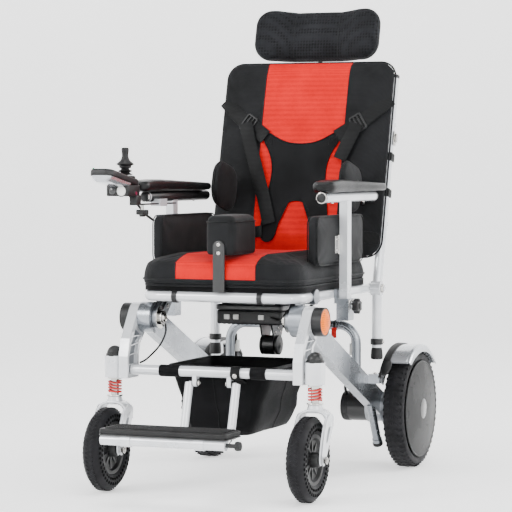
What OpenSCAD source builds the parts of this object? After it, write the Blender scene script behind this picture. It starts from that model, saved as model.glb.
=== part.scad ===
// Folding power wheelchair with a reclining back, headrest and positioning pads.
// +Z up, the sitter faces -Y, +X is the sitter's left. Z = 0 is the floor.

/* [Overall] */
// Distance between the front and rear axles in plan
wheelbase = 680; // [676:1:686]
// Angle of the back from vertical when upright
back_angle = 14; // [12:1:15]

/* [Wheels] */
// Outer diameter of a rear drive wheel
rear_wheel_d = 302; // [298:1:304]
// Width of a rear tyre
rear_tyre_w = 55; // [50:1:56]
// Outer diameter of a front caster wheel
front_wheel_d = 200; // [196:1:200]
// Width of a front tyre
front_tyre_w = 46; // [42:1:47]
// Half the distance between the rear wheels' mid-planes
rear_track = 277; // [276:1:279]
// Half the distance between the caster stems
front_track = 256; // [255:1:257]

/* [Frame] */
// Depth of a main beam
beam_d = 60; // [54:1:62]
// Width of a main beam
beam_w = 24; // [22:1:24]
// Wall of a main beam
beam_t = 3; // [2:0.5:4]
// Outer diameter of the frame tubes
tube_d = 25; // [23:1:25]
// Height of the folding hub's axis
hub_z = 409; // [407:1:411]
// Diameter of the pin through the folding hub
hub_pin_d = 24; // [20:1:26]

/* [Seat] */
// Height of the seat rails' centre line
seat_z = 463; // [462:1:464]
// Width of the seat cushion at its base
seat_w = 420; // [410:1:424]
// Top of the seat cushion above the floor
seat_top_z = 562; // [555:1:562]
// Width of the back cushion
back_w = 472; // [460:1:476]
// Length of the back cushion
back_h = 491; // [486:1:494]

/* [Armrests] */
// Height of the armrest tube
arm_z = 697; // [690:1:700]
// Length of an armrest pad
arm_pad_l = 405; // [400:1:410]

/* [Hidden] */
$fn = 48;

running = 0.05;                       // radial clearance of a running fit
side_left = 1;
side_right = -1;
tube_r = tube_d / 2;

rear_y = wheelbase / 2;
rear_r = rear_wheel_d / 2;
rear_shaft_r = 10;
rim_r = 116;
front_y = -wheelbase / 2;
front_r = front_wheel_d / 2;
front_rim_r = 60;
front_axle_r = 6;
stem_y = front_y + 45;
stem_r = 10;

hub_y = -232;
hub_pin_r = hub_pin_d / 2;
hub_head_r = 36;
beam_x0 = 186;
beam_x1 = beam_x0 + beam_w;
beam_rise = hub_z - rear_r;
beam_run = rear_y - hub_y;
beam_len = sqrt(beam_run * beam_run + beam_rise * beam_rise);
beam_angle = atan2(beam_rise, beam_run);
barrel_x0 = 178;
arm_x0 = 210.5;
arm_x1 = 234;
cross_y = -294;
cross_z = 288;

rail_x = 196;
elbow_r = 50;
seat_front_y = -266;
recline_y = 236;
recline_z = seat_z;
cane_x = 222;
cane_eye_r = 19;
recline_pin_r = 8;

foot_bar_y = -578;
foot_bar_z = 155;
foot_bar_r = 12;
foot_clamp_r = foot_bar_r + 3;
frame_y = (foot_clamp_r - foot_bar_y - rear_y - rear_r) / 2;   // centres the overall box on Y

pin_r = 4;
post_y = -20;
post_x = 230;
arm_x = 229;
pad_gap = 0.3;

// ---- helpers -------------------------------------------------------------

module piece(tint) { color(tint) translate([0, frame_y, 0]) children(); }

// A round bar along X between two x values
module bar_x(r, x0, x1, y, z) { translate([x0, y, z]) rotate([0, 90, 0]) cylinder(h = x1 - x0, r = r); }

// A round bar along Y
module bar_y(r, y0, y1, x, z) { translate([x, y1, z]) rotate([90, 0, 0]) cylinder(h = y1 - y0, r = r); }

// A round bar between two points
module bar(a, b, r) {
    d = b - a;
    translate(a) rotate([0, acos(d.z / norm(d)), atan2(d.y, d.x)]) cylinder(h = norm(d), r = r);
}

// Both mirror images of a left-hand shape
module both_sides() { children(); mirror([1, 0, 0]) children(); }

// The left-hand shape on either side
module on_side(side) { mirror([side == side_right ? 1 : 0, 0, 0]) children(); }

// A side outline in the YZ plane, extruded along X from x0 to x1
module side_plate(x0, x1) { translate([x0, 0, 0]) rotate([90, 0, 90]) linear_extrude(x1 - x0) children(); }

// A block given by its lowest and highest corners
module block(low, high) { translate(low) cube(high - low); }

// A block with rounded vertical edges
module soft_block(low, high, r) {
    translate([0, 0, low.z]) linear_extrude(high.z - low.z) rounded_box([low.x, low.y], [high.x, high.y], r);
}

module rounded_box(low, high, r) {
    translate([low.x + r, low.y]) square([high.x - low.x - 2 * r, high.y - low.y]);
    translate([low.x, low.y + r]) square([high.x - low.x, high.y - low.y - 2 * r]);
    for (x = [low.x + r, high.x - r], y = [low.y + r, high.y - r]) translate([x, y]) circle(r);
}

// A turned ring or disc about a wheel's axis: its outline is [radius, x]
module turned_x(x, y, z) { translate([x, y, z]) rotate([0, 90, 0]) rotate_extrude() children(); }

// The back's own frame: origin on the recline axis, local Z up along the back
module in_back() { translate([0, recline_y, recline_z]) rotate([-back_angle, 0, 0]) children(); }

// A tube swept along a list of points, as one closed mesh
module swept(path, r, sides) {
    count = len(path);
    rings = [for (i = [0:count - 1])
        let (ahead = path[min(i + 1, count - 1)] - path[max(i - 1, 0)], t = ahead / norm(ahead),
             ref = abs(t.x) > 0.8 ? [0, 0, 1] : [1, 0, 0], u = cross(t, ref), a = u / norm(u), b = cross(t, a))
        for (k = [0:sides - 1]) path[i] + r * (cos(360 * k / sides) * a + sin(360 * k / sides) * b)];
    walls = [for (i = [0:count - 2], k = [0:sides - 1], half = [0, 1])
        let (n = (k + 1) % sides, low = i * sides, high = low + sides)
        half == 0 ? [low + k, low + n, high + n] : [low + k, high + n, high + k]];
    first = [for (k = [sides - 1:-1:0]) k];
    last = [for (k = [0:sides - 1]) (count - 1) * sides + k];
    polyhedron(points = rings, faces = concat(walls, [first, last]), convexity = 6);
}

// ---- rear frame ----------------------------------------------------------

module beam_outline() {
    translate([hub_y, hub_z]) rotate(-beam_angle) translate([0, -beam_d / 2]) square([beam_len, beam_d]);
    translate([hub_y, hub_z]) circle(hub_head_r);
    translate([rear_y, rear_r]) circle(hub_head_r + 2);
}

module main_beams() piece("silver") both_sides() difference() {
    union() {
        side_plate(beam_x0, beam_x1) beam_outline();
        bar_x(37.5, barrel_x0, beam_x1, hub_y, hub_z);
    }
    translate([0, hub_y, hub_z]) rotate([-beam_angle, 0, 0])
        block([beam_x0 + beam_t, hub_head_r + 4, -beam_d / 2 + beam_t],
              [beam_x1 - beam_t, beam_len - hub_head_r - 6, beam_d / 2 - beam_t]);
    bar_x(hub_pin_r, barrel_x0 - 1, beam_x1 + 1, hub_y, hub_z);
    bar_x(rear_shaft_r, beam_x0 - 1, beam_x1 + 1, rear_y, rear_r);
}

module hub_pivots() piece("gainsboro") both_sides() {
    bar_x(hub_pin_r - running, 156, arm_x1 - 1, hub_y, hub_z);
    bar_x(hub_pin_r + 5, 156, 163, hub_y, hub_z);
}

hoop_x = 173;
hoop_y = 220;
hoop_top = 368;
hoop_bend = 45;
hoop_r = 12;

module hoop_corner() {
    translate([hoop_x - hoop_bend, hoop_y, hoop_top - hoop_bend]) rotate([90, 0, 0])
        rotate_extrude(angle = 90) translate([hoop_bend, 0]) circle(hoop_r);
}

module hoop_brace() piece("silver") {
    bar_x(hoop_r, -(hoop_x - hoop_bend), hoop_x - hoop_bend, hoop_y, hoop_top);
    both_sides() {
        hoop_corner();
        translate([hoop_x, hoop_y, 196]) cylinder(h = hoop_top - hoop_bend - 196, r = hoop_r);
        block([hoop_x - 4, hoop_y - 14, 190], [beam_x0, hoop_y + 14, 224]);
    }
}

module drive_motors() piece("#202225") both_sides() {
    bar_x(37.5, 100, beam_x0, rear_y, rear_r);
    bar_x(rear_shaft_r - running, beam_x0 - 1, 300, rear_y, rear_r);
}

module gearboxes() piece("silver") both_sides() difference() {
    bar_x(44, beam_x1, 243, rear_y, rear_r);
    bar_x(rear_shaft_r, beam_x1 - 1, 244, rear_y, rear_r);
}

fender_r = rear_r + 9;

module fender_sector(inner, outer, from, to) {
    reach = 2 * outer;
    translate([rear_y, rear_r]) intersection() {
        difference() { circle(outer, $fn = 96); circle(inner, $fn = 96); }
        polygon([[0, 0], for (i = [0:4]) let (a = from + (to - from) * i / 4) reach * [cos(a), sin(a)]]);
    }
}

fender_t = 4;
fender_x0 = 238;

module fenders() piece("whitesmoke") both_sides() {
    side_plate(fender_x0, 303) fender_sector(fender_r, fender_r + fender_t, 42, 130);
    side_plate(fender_x0, fender_x0 + fender_t) fender_sector(rear_r - 24, fender_r + fender_t, 96, 148);
    block([beam_x1, 206, 224], [fender_x0 + 1, 228, 248]);
}

module lower_struts() piece("silver") both_sides() difference() {
    union() {
        bar([202, 244, 169], [202, 297, 74], 11);
        bar([202, 297, 74], [202, 301, 66], 12.5);
    }
    side_plate(beam_x0 - 2, beam_x1 + 10) beam_outline();
}

cover_x = 27.8;
cover_r = 121;
cover_rise = 6;
cover_dome = (cover_r * cover_r + cover_rise * cover_rise) / (2 * cover_rise);

module rear_tyre() piece("#2b2b2d") difference() {
    turned_x(rear_track, rear_y, rear_r) translate([rear_r - rear_tyre_w / 2, 0]) circle(rear_tyre_w / 2);
    bar_x(rim_r, 240, 310, rear_y, rear_r);
}

module rear_rim() piece("#3a3a3c") {
    turned_x(rear_track, rear_y, rear_r) union() {
        translate([rim_r - 10, -21]) square([10, 42]);
        translate([rear_shaft_r, 6]) square([rim_r - 14, 6]);
        translate([rear_shaft_r, -29]) square([20, 44]);
    }
    turned_x(rear_track + cover_x, rear_y, rear_r) {
        difference() {
            intersection() {
                translate([0, cover_rise + 2 - cover_dome]) circle(cover_dome, $fn = 200);
                square([cover_r, cover_rise + 2]);
            }
            translate([0, cover_rise - cover_dome]) circle(cover_dome, $fn = 200);
        }
        translate([rim_r - 9.5, -6.6]) square([3, 8]);
    }
}

module rear_tyre_left() on_side(side_left) rear_tyre();
module rear_tyre_right() on_side(side_right) rear_tyre();
module rear_rim_left() on_side(side_left) rear_rim();
module rear_rim_right() on_side(side_right) rear_rim();

// ---- front frame ---------------------------------------------------------

housing_z0 = 268;
housing_z1 = 320;
housing_half = 20.5;

module front_arms() piece("white") both_sides() difference() {
    side_plate(arm_x0, arm_x1) difference() {
        union() {
            translate([hub_y, hub_z]) circle(hub_head_r);
            polygon([[-262, 429], [-308, 362], [-320, 320], [-320, housing_z0], [-258, housing_z0],
                     [-256, 322], [-247, 348], [-198, 396]]);
        }
        translate([hub_y, hub_z]) circle(hub_pin_r);
    }
    for (x = [arm_x0 - 1, arm_x1 - 8]) side_plate(x, x + 9)
        polygon([[-268, 392], [-299, 350], [-311, 316], [-311, 278], [-268, 278], [-266, 322], [-256, 354], [-232, 366]]);
}

module caster_housings() piece("white") both_sides() difference() {
    union() {
        soft_block([front_track - housing_half, stem_y - housing_half, housing_z0],
                   [front_track + housing_half, stem_y + housing_half, housing_z1], 10);
        block([arm_x1, stem_y - 12, housing_z0 + 6], [front_track - housing_half + 4, stem_y + 12, housing_z1 - 6]);
    }
    translate([front_track, stem_y, housing_z0 - 1]) cylinder(h = 60, r = stem_r);
}

module housing_caps() piece("#1c1c1e") both_sides() translate([front_track, stem_y, housing_z1]) difference() {
    union() {
        cylinder(h = 6, r = 20);
        translate([0, 0, 5]) intersection() { sphere(19); cylinder(h = 20, r = 19); }
    }
    translate([0, 0, -1]) cylinder(h = 10, r = 12);
}

ear_x = 44;
hanger_x = 60;
hanger_top = [-297, 262];
hanger_low = [-330, 150];

module front_cross_tube() piece("white") {
    bar_x(tube_r, -arm_x0, arm_x0, cross_y, cross_z);
    for (s = [-1, 1]) side_plate(s * ear_x - 5, s * ear_x + 5) difference() {
        union() {
            translate([hanger_top.x - 9, hanger_top.y]) square([18, 18]);
            translate(hanger_top) circle(9);
        }
        translate(hanger_top) circle(pin_r);
    }
}

lens_x = 255;

module reflector_cups() piece("#1c1c1e") both_sides() difference() {
    bar_x(34, arm_x1, lens_x + 3, hub_y, hub_z);
    bar_x(30.5, lens_x, lens_x + 4, hub_y, hub_z);
}

module reflector_lenses() piece("orange") both_sides()
    turned_x(lens_x, hub_y, hub_z) intersection() {
        translate([0, -56]) circle(66, $fn = 96);
        square([30.2, 20]);
    }

bag_front = -262;
bag_rear = 15;
bag_wall = 3;
bag_bottom = 132;
bag_top = 296;

module bag_outline(inset) {
    polygon([[-86 + inset, bag_bottom + inset], [86 - inset, bag_bottom + inset],
             [138 - inset, bag_top + inset], [-138 + inset, bag_top + inset]]);
}

module bag_loop(x0, x1) side_plate(x0, x1) difference() {
    union() {
        translate([cross_y, cross_z]) circle(tube_r + bag_wall);
        translate([cross_y, cross_z + tube_r]) square([bag_front + 2 - cross_y, bag_wall]);
    }
    translate([cross_y, cross_z]) circle(tube_r + running);
}

module storage_bag() piece("#242426") {
    difference() {
        translate([0, bag_rear, 0]) rotate([90, 0, 0]) linear_extrude(bag_rear - bag_front) bag_outline(0);
        translate([0, bag_rear - bag_wall, 0]) rotate([90, 0, 0])
            linear_extrude(bag_rear - bag_front - 2 * bag_wall) bag_outline(bag_wall);
    }
    bag_loop(-136, -84);
    bag_loop(96, 136);
    for (x = [[-136, -84], [96, 136]])
        block([x[0], bag_front, bag_top - 2], [x[1], bag_front + bag_wall, cross_z + tube_r + bag_wall]);
}

spring_z0 = 227;
spring_z1 = 264;
spring_turns = 4.5;
spring_steps = 54;

module caster_stem() piece("gainsboro") {
    translate([front_track, stem_y, 208]) cylinder(h = 118, r = stem_r - running);
    translate([front_track, stem_y, 264.5]) cylinder(h = 3, r = 17);
}

module caster_spring() piece("red") translate([front_track, stem_y, 0])
    swept([for (i = [0:spring_steps]) let (a = 360 * spring_turns * i / spring_steps,
        z = spring_z0 + 2.2 + (spring_z1 - spring_z0 - 4.4) * i / spring_steps)
        [13.4 * cos(a), 13.4 * sin(a), z]], 2.1, 8);

fork_half = 32;
fork_t = 7;

module fork_leg_outline() {
    polygon([[stem_y - 22, 214], [stem_y + 21, 214], [stem_y + 14, 176], [front_y + 12, 108],
             [front_y - 12.5, 100], [front_y - 8, 150], [stem_y - 32, 186]]);
    translate([front_y, front_r]) circle(12.5);
}

module caster_fork() piece("whitesmoke") {
    difference() {
        union() {
            for (x = [front_track - fork_half - fork_t + 0.01, front_track + fork_half])
                side_plate(x, x + fork_t) difference() {
                    fork_leg_outline();
                    translate([front_y, front_r]) circle(front_axle_r);
                    translate([front_y + 8, 136]) circle(4.5);
                    translate([front_y + 16, 158]) circle(4.5);
                }
            block([front_track - fork_half - fork_t, stem_y - 22, 204], [front_track + fork_half + fork_t, stem_y + 21, 214]);
            translate([front_track, stem_y, 206]) cylinder(h = 20, r = 16);
        }
        translate([front_track, stem_y, 200]) cylinder(h = 40, r = stem_r);
    }
    bar_x(front_axle_r - running, front_track - fork_half - fork_t - 2, front_track + fork_half + fork_t + 2, front_y, front_r);
    for (x = [front_track - fork_half - fork_t - 6, front_track + fork_half + fork_t + 2])
        bar_x(10, x, x + 4, front_y, front_r);
}

module caster_wheel() {
    piece("#333335") difference() {
        turned_x(front_track, front_y, front_r) translate([front_r - front_tyre_w / 2, 0]) circle(front_tyre_w / 2);
        bar_x(front_rim_r, 220, 290, front_y, front_r);
    }
    piece("#1f1f20") turned_x(front_track, front_y, front_r) union() {
        translate([front_rim_r - 8, -16]) square([8, 32]);
        translate([front_axle_r, -3]) square([front_rim_r - 10, 6]);
        translate([front_axle_r, -28]) square([12, 56]);
    }
}

module caster_stem_left() on_side(side_left) caster_stem();
module caster_stem_right() on_side(side_right) caster_stem();
module caster_spring_left() on_side(side_left) caster_spring();
module caster_spring_right() on_side(side_right) caster_spring();
module caster_fork_left() on_side(side_left) caster_fork();
module caster_fork_right() on_side(side_right) caster_fork();
module caster_wheel_left() on_side(side_left) caster_wheel();
module caster_wheel_right() on_side(side_right) caster_wheel();

// ---- footrest ------------------------------------------------------------

hanger_r = 10;
foot_half = 144;
plunger_r = 5;

module footrest_frame() piece("white") difference() {
    footrest_tubes();
    bar_x(plunger_r, foot_half - 24, foot_half + 20, foot_bar_y, foot_bar_z);
}

module footrest_tubes() {
    bar_x(foot_bar_r, -foot_half - 9, foot_half + 9, foot_bar_y, foot_bar_z);
    both_sides() {
        bar([foot_half, foot_bar_y, foot_bar_z], [hanger_x, hanger_low.x, hanger_low.y], hanger_r - 1);
        translate([hanger_x, hanger_low.x, hanger_low.y]) sphere(hanger_r);
        bar([hanger_x, hanger_low.x, hanger_low.y], [hanger_x, hanger_top.x, hanger_top.y], hanger_r);
        bar_x(pin_r - running, ear_x - 9, hanger_x, hanger_top.x, hanger_top.y);
    }
}

module footplate_pad() piece("#2c2f33") {
    soft_block([-157, -590, 167.3], [157, -495, 187], 8);
    for (x = [-90, 90]) side_plate(x - 12, x + 12) difference() {
        union() {
            translate([foot_bar_y, foot_bar_z]) circle(foot_clamp_r);
            translate([foot_bar_y, foot_bar_z + 4]) square([34, 8.5]);
        }
        translate([foot_bar_y, foot_bar_z]) circle(foot_bar_r + running);
    }
}

module footplate_plunger() piece("#161617") {
    bar_x(plunger_r - running, foot_half - 23, 176, foot_bar_y, foot_bar_z);
    bar_x(10, 176, 187, foot_bar_y, foot_bar_z);
}

// ---- seat ----------------------------------------------------------------

strap_y0 = -291;
strap_y1 = -287;
strap_half = 15;
pommel_x = 12;
foot_z0 = 476.2;
foot_z1 = 480.2;
foot_rear = -205;

module seat_frame() piece("white") {
    bar_x(tube_r, -(rail_x - elbow_r), rail_x - elbow_r, seat_front_y, seat_z);
    bar_x(tube_r, -205, 205, recline_y, seat_z);
    both_sides() {
        translate([rail_x - elbow_r, seat_front_y + elbow_r, seat_z]) rotate([0, 0, -90])
            rotate_extrude(angle = 90) translate([elbow_r, 0]) circle(tube_r);
        bar_y(tube_r, seat_front_y + elbow_r, recline_y - 4, rail_x, seat_z);
        bar_x(recline_pin_r - running, 205, 243, recline_y, recline_z);
    }
}

bracket_y = -167;

module seat_brackets() piece("lightgrey") both_sides() difference() {
    union() {
        side_plate(165, 177) union() {
            translate([hub_y, hub_z]) circle(24);
            translate([bracket_y, seat_z]) circle(18);
            polygon([[hub_y - 14, hub_z + 18], [bracket_y - 6, seat_z + 17], [bracket_y + 14, seat_z - 11],
                     [hub_y + 16, hub_z - 17]]);
        }
        bar_x(18, 176, 212, bracket_y, seat_z);
    }
    bar_x(hub_pin_r, 164, 178, hub_y, hub_z);
    bar_y(tube_r + running, bracket_y - 30, bracket_y + 30, rail_x, seat_z);
}

module seat_pan() piece("#1b1b1c") difference() {
    soft_block([-206, -272, seat_z + tube_r + 0.2], [206, 226, cushion_z0], 55);
    both_sides() bar_x(19, 164, 212, bracket_y, seat_z);
    block([pommel_x - strap_half - running, -273, seat_z + tube_r],
          [pommel_x + strap_half + running, foot_rear + 1, foot_z1 + running]);
}

cushion_z0 = seat_z + tube_r + 12;
cushion_step = 526;

module seat_cushion() piece("firebrick") {
    soft_block([-seat_w / 2, -284, cushion_z0], [seat_w / 2, 232, cushion_step], 60);
    soft_block([-182, -284, cushion_step - 0.01], [182, 196, seat_top_z], 60);
}

module post_sockets() piece("silver") both_sides() difference() {
    union() {
        block([post_x - 16, post_y - 20, 399], [post_x + 15, post_y + 20, 452]);
        block([rail_x + tube_r, post_y - 20, 440], [post_x - 15, post_y + 20, 474]);
    }
    block([post_x - 10.08, post_y - 14.08, 390], [post_x + 10.08, post_y + 14.08, 480]);
    bar_x(4, post_x + 5, post_x + 20, post_y, 434);
}

box_low = [-86, -78, 386];
box_high = [86, 86, 434];

module control_box() piece("#151516") {
    difference() {
        block(box_low, box_high);
        block(box_low + [4, 4, 4], box_high - [4, 4, 4]);
    }
    for (s = [-1, 1]) block([s * 70 - 8, -60, box_high.z], [s * 70 + 8, 66, seat_z + tube_r + 0.2]);
}

module battery_pack() piece("#3d4a5c") block(box_low + [6, 6, 6], box_high - [6, 6, 10]);

module fold_actuator() piece("#19191a") {
    for (x = [22, 52]) side_plate(x, x + 4) polygon([[-62, box_low.z], [18, box_low.z], [-16, 322], [-36, 322]]);
    bar_x(24, 25, 53, -26, 334);
}

// ---- pommel --------------------------------------------------------------

pommel_rear = -140;
pommel_half = 38;
pommel_top = 657;
plate_top = 582;

module pommel_pad() piece("#202022")
    soft_block([pommel_x - pommel_half, strap_y1, seat_top_z + 1], [pommel_x + pommel_half, pommel_rear, pommel_top], 14);

module pommel_strap() piece("#101011") {
    block([pommel_x - strap_half, strap_y0, foot_z0], [pommel_x + strap_half, strap_y1, plate_top]);
    bar_y(strap_half, strap_y0, strap_y1, pommel_x, plate_top);
    block([pommel_x - strap_half, strap_y1 - 1, foot_z0], [pommel_x + strap_half, foot_rear, foot_z1]);
    for (z = [plate_top - 14, plate_top + 6]) bar_y(5, strap_y0 - 3, strap_y0 + 0.1, pommel_x, z);
}

// ---- armrests ------------------------------------------------------------

ctl_x = -236;
rail_in = 12;
rail_out = 30;
rail_z0 = 678;
rail_z1 = 682;

arm_y0 = -170;
arm_y1 = 190;

module armrest() {
    block([post_x - 10, post_y - 14, 399], [post_x + 10, post_y + 14, arm_z - 8]);
    bar_y(12, arm_y0, arm_y1, arm_x, arm_z);
    translate([arm_x, arm_y0, arm_z]) sphere(12);
}

// The clamp under the right arm that the controller's flat bar slides in
module rail_clamp() difference() {
    block([ctl_x + 8, -150, 674], [ctl_x + 34, -110, 692]);
    block([ctl_x + rail_in - running, -152, rail_z0 - running], [ctl_x + rail_out + running, -108, rail_z1 + running]);
    bar_y(12, -152, -108, -arm_x, arm_z);
}

arm_pad_left_y = -184;
arm_pad_right_y = -232;

module arm_pad(front) piece("#1a1b1d") {
    soft_block([arm_x - 28, front, 713], [arm_x + 28, front + arm_pad_l, 735], 22);
    for (y = [-110, 110]) block([arm_x - 7, y - 12, 708.95], [arm_x + 7, y + 12, 713.5]);
}

module hip_pad() piece("#202022") {
    soft_block([185, -175, 531], [217, 163, 657], 12);
    block([216, -64, 560], [post_x - 10, post_y + 12, 604]);
}

module post_knob() piece("#111112") {
    bar_x(3.9, post_x + 10.5, post_x + 22, post_y, 434);
    bar_x(8, post_x + 15.5, post_x + 24, post_y, 434);
    for (k = [0:5]) translate([0, post_y, 434]) rotate([60 * k, 0, 0]) bar_x(6, post_x + 22, post_x + 38, 13, 0);
    bar_x(14, post_x + 22, post_x + 38, post_y, 434);
}

module armrest_left() piece("white") armrest();
module armrest_right() piece("white") {
    on_side(side_right) armrest();
    rail_clamp();
}
module arm_pad_left() on_side(side_left) arm_pad(arm_pad_left_y);
module arm_pad_right() on_side(side_right) arm_pad(arm_pad_right_y);
module hip_pad_left() on_side(side_left) hip_pad();
module hip_pad_right() on_side(side_right) hip_pad();
module post_knob_left() on_side(side_left) post_knob();
module post_knob_right() on_side(side_right) post_knob();

// ---- joystick controller -------------------------------------------------

ctl_half = 30;
ctl_front = -418;
ctl_rear = -250;
ctl_low = 700;
belly_front = -325;
stick_y = -277;
stick_z = 728;
stick_tray_r = 24;
ring_in = 15;
ring_out = 21;
button_r = 4;
button_y = -280;
button_z = 707.5;

// The upper edge of the silver shell, where the tilted dark frame sits on it
function seam_z(y) = 724 + (ctl_rear - y) * 0.174;

module controller_case() piece("#1d1d1f") difference() {
    side_plate(ctl_x - ctl_half, ctl_x + ctl_half) polygon([[ctl_front, seam_z(ctl_front)],
        [ctl_front, seam_z(ctl_front) + 9], [ctl_front + 6, seam_z(ctl_front) + 13],
        [ctl_rear, seam_z(ctl_rear) + 13], [ctl_rear, seam_z(ctl_rear)]]);
    translate([ctl_x, stick_y, 700]) cylinder(h = 80, r = stick_tray_r);
}

module controller_belly() piece("silver") {
    difference() {
        side_plate(ctl_x - ctl_half + 1, ctl_x + ctl_half - 1) polygon([[ctl_rear, seam_z(ctl_rear)],
            [ctl_rear, ctl_low], [belly_front, ctl_low], [belly_front, 721], [ctl_front + 14, 744],
            [ctl_front + 6, seam_z(ctl_front + 6)]]);
        translate([ctl_x, stick_y, 716]) cylinder(h = 60, r = stick_tray_r);
        bar_x(button_r, ctl_x + ctl_half - 18, ctl_x + ctl_half + 1, button_y, button_z);
    }
    block([ctl_x + rail_in, -262, rail_z0], [ctl_x + rail_out - 1, -258, ctl_low + 1]);
    block([ctl_x + rail_in, -262, rail_z0], [ctl_x + rail_out, -46, rail_z1]);
}

module joystick_gimbal() piece("#2a2a2c") translate([ctl_x, stick_y, stick_z]) {
    difference() {
        translate([0, 0, -4]) cylinder(h = 8, r = ring_out);
        translate([0, 0, -5]) cylinder(h = 10, r = ring_in);
        for (s = [-1, 1]) bar_y(1.5, s * 18 - 4, s * 18 + 4, 0, 0);
    }
    for (s = [-1, 1]) bar_x(2, s * 22 - 1.9, s * 22 + 1.9, 0, 0);
}

module joystick_stick() piece("#0f0f10") translate([ctl_x, stick_y, stick_z]) {
    translate([0, 0, -4]) cylinder(h = 8, r = 9);
    bar_y(1.5 - running, -20, 20, 0, 0);
    translate([0, 0, 3]) cylinder(h = 62, r = 4.5);
    translate([0, 0, 26]) cylinder(h = 23, r1 = 18, r2 = 9);
    translate([0, 0, 62]) cylinder(h = 12, r = 11);
    translate([0, 0, 74]) cylinder(h = 14, r1 = 11, r2 = 13);
}

module power_button() piece("crimson")
    bar_x(button_r - running, ctl_x + ctl_half - 14, ctl_x + ctl_half + 1.5, button_y, button_z);

// ---- back ----------------------------------------------------------------

cushion_front = -42;
cushion_mid = -tube_r;
cushion_rear = 8;
cushion_low = 100;
cane_top = 545;
brace_r = 6;
brace_back = tube_r + brace_r;
sleeve_z = 430;

module back_canes() piece("white") both_sides() {
    difference() {
        union() {
            in_back() translate([cane_x, 0, 10]) cylinder(h = cane_top, r = tube_r);
            translate([cane_x, recline_y, 300]) cylinder(h = recline_z - 300, r = tube_r);
            bar_x(cane_eye_r, cane_x - 13, cane_x + 13, recline_y, recline_z);
        }
        bar_x(recline_pin_r, cane_x - 30, cane_x + 30, recline_y, recline_z);
    }
    translate([cane_x, recline_y, 284]) cylinder(h = 16, r = tube_r + 1);
}

module back_braces() piece("white") in_back() {
    for (z = [170, sleeve_z]) bar_x(brace_r, -cane_x - 8, cane_x + 8, brace_back, z);
    difference() {
        union() {
            translate([0, stem_back, sleeve_z - 18]) cylinder(h = 36, r = 13);
            block([-10, brace_back, sleeve_z - 10], [10, stem_back, sleeve_z + 10]);
        }
        translate([0, stem_back, sleeve_z - 20]) cylinder(h = 40, r = 8);
    }
}

module back_slab(near, far, half) translate([0, far, 0]) rotate([90, 0, 0]) linear_extrude(far - near)
    rounded_box([-half, cushion_low], [half, cushion_low + back_h], 45);

module back_cushion() piece("firebrick") in_back() {
    back_slab(cushion_front, cushion_mid, back_w / 2);
    back_slab(cushion_mid - 1, cushion_rear, cane_x - tube_r - 2);
}

pad_inner = 158;
pad_outer = 181;
trunk_pin = [184, -50];

module trunk_pad() piece("#202022") in_back() {
    translate([0, 0, 176]) linear_extrude(118)
        polygon([[pad_inner, -188], [pad_outer, -188], [pad_outer + 2, -51], [pad_inner + 2, -58]]);
    translate([trunk_pin.x, trunk_pin.y, 206]) cylinder(h = 58, r = 3.5);
}

module trunk_pad_left() on_side(side_left) trunk_pad();
module trunk_pad_right() on_side(side_right) trunk_pad();

module harness() piece("#17171a") in_back() {
    translate([0, cushion_front - 0.6, 0]) rotate([90, 0, 0]) linear_extrude(5) difference() {
        polygon([[96, 190], [75, 300], [168, 470], [140, 470], [52, 330], [-52, 330],
                 [-140, 470], [-168, 470], [-75, 300], [-96, 190], [-86, 176], [86, 176]]);
        translate([0, 176]) circle(34);
    }
}

stem_back = 34;
tilt_back = 50;
tilt_z = 663;
tilt_r = 6;
stem_top = 577;

module headrest_stem() piece("silver") in_back() {
    translate([0, stem_back, 338]) cylinder(h = stem_top - 338, r = 8 - running);
    translate([0, stem_back, stem_top]) sphere(8.2);
    bar([0, stem_back, stem_top], [0, tilt_back - 1, tilt_z - 5], 7.5);
    bar_x(tilt_r - running, -42, 42, tilt_back, tilt_z);
}

head_low = 603;
head_h = 133;
head_half = 172;
head_corner = 45;

module headrest_pad() piece("#161617") in_back() {
    difference() {
        intersection() {
            translate([0, 0, head_low]) linear_extrude(head_h)
                polygon([[-head_half, -26], [-144, -42], [-66, -12], [66, -12], [144, -42], [head_half, -26],
                         [head_half, 12], [88, 38], [-88, 38], [-head_half, 12]]);
            translate([0, 40, 0]) rotate([90, 0, 0]) linear_extrude(84)
                rounded_box([-head_half, head_low], [head_half, head_low + head_h], head_corner);
        }
        side_plate(-13, 13) polygon([[39, head_low - 4], [20, head_low - 4], [33, tilt_z + 16], [39, tilt_z + 26]]);
    }
    for (s = [-1, 1]) side_plate(s * 36 - 3, s * 36 + 3) difference() {
        union() {
            translate([37, tilt_z - 9]) square([tilt_back - 37, 18]);
            translate([tilt_back, tilt_z]) circle(9);
        }
        translate([tilt_back, tilt_z]) circle(tilt_r);
    }
}

// ---- assembly ------------------------------------------------------------

main_beams();
hub_pivots();
hoop_brace();
drive_motors();
gearboxes();
fenders();
lower_struts();
rear_tyre_left();
rear_rim_left();
rear_tyre_right();
rear_rim_right();
front_arms();
caster_housings();
housing_caps();
front_cross_tube();
reflector_cups();
reflector_lenses();
storage_bag();
caster_stem_left();
caster_spring_left();
caster_fork_left();
caster_wheel_left();
caster_stem_right();
caster_spring_right();
caster_fork_right();
caster_wheel_right();
footrest_frame();
footplate_pad();
footplate_plunger();
seat_frame();
seat_brackets();
seat_pan();
seat_cushion();
post_sockets();
control_box();
battery_pack();
fold_actuator();
pommel_pad();
pommel_strap();
armrest_left();
arm_pad_left();
hip_pad_left();
post_knob_left();
armrest_right();
arm_pad_right();
hip_pad_right();
post_knob_right();
controller_case();
controller_belly();
joystick_gimbal();
joystick_stick();
power_button();
back_canes();
back_braces();
back_cushion();
trunk_pad_left();
trunk_pad_right();
harness();
headrest_stem();
headrest_pad();
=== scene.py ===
"""Looks for a folding power wheelchair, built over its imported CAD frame."""

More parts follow.
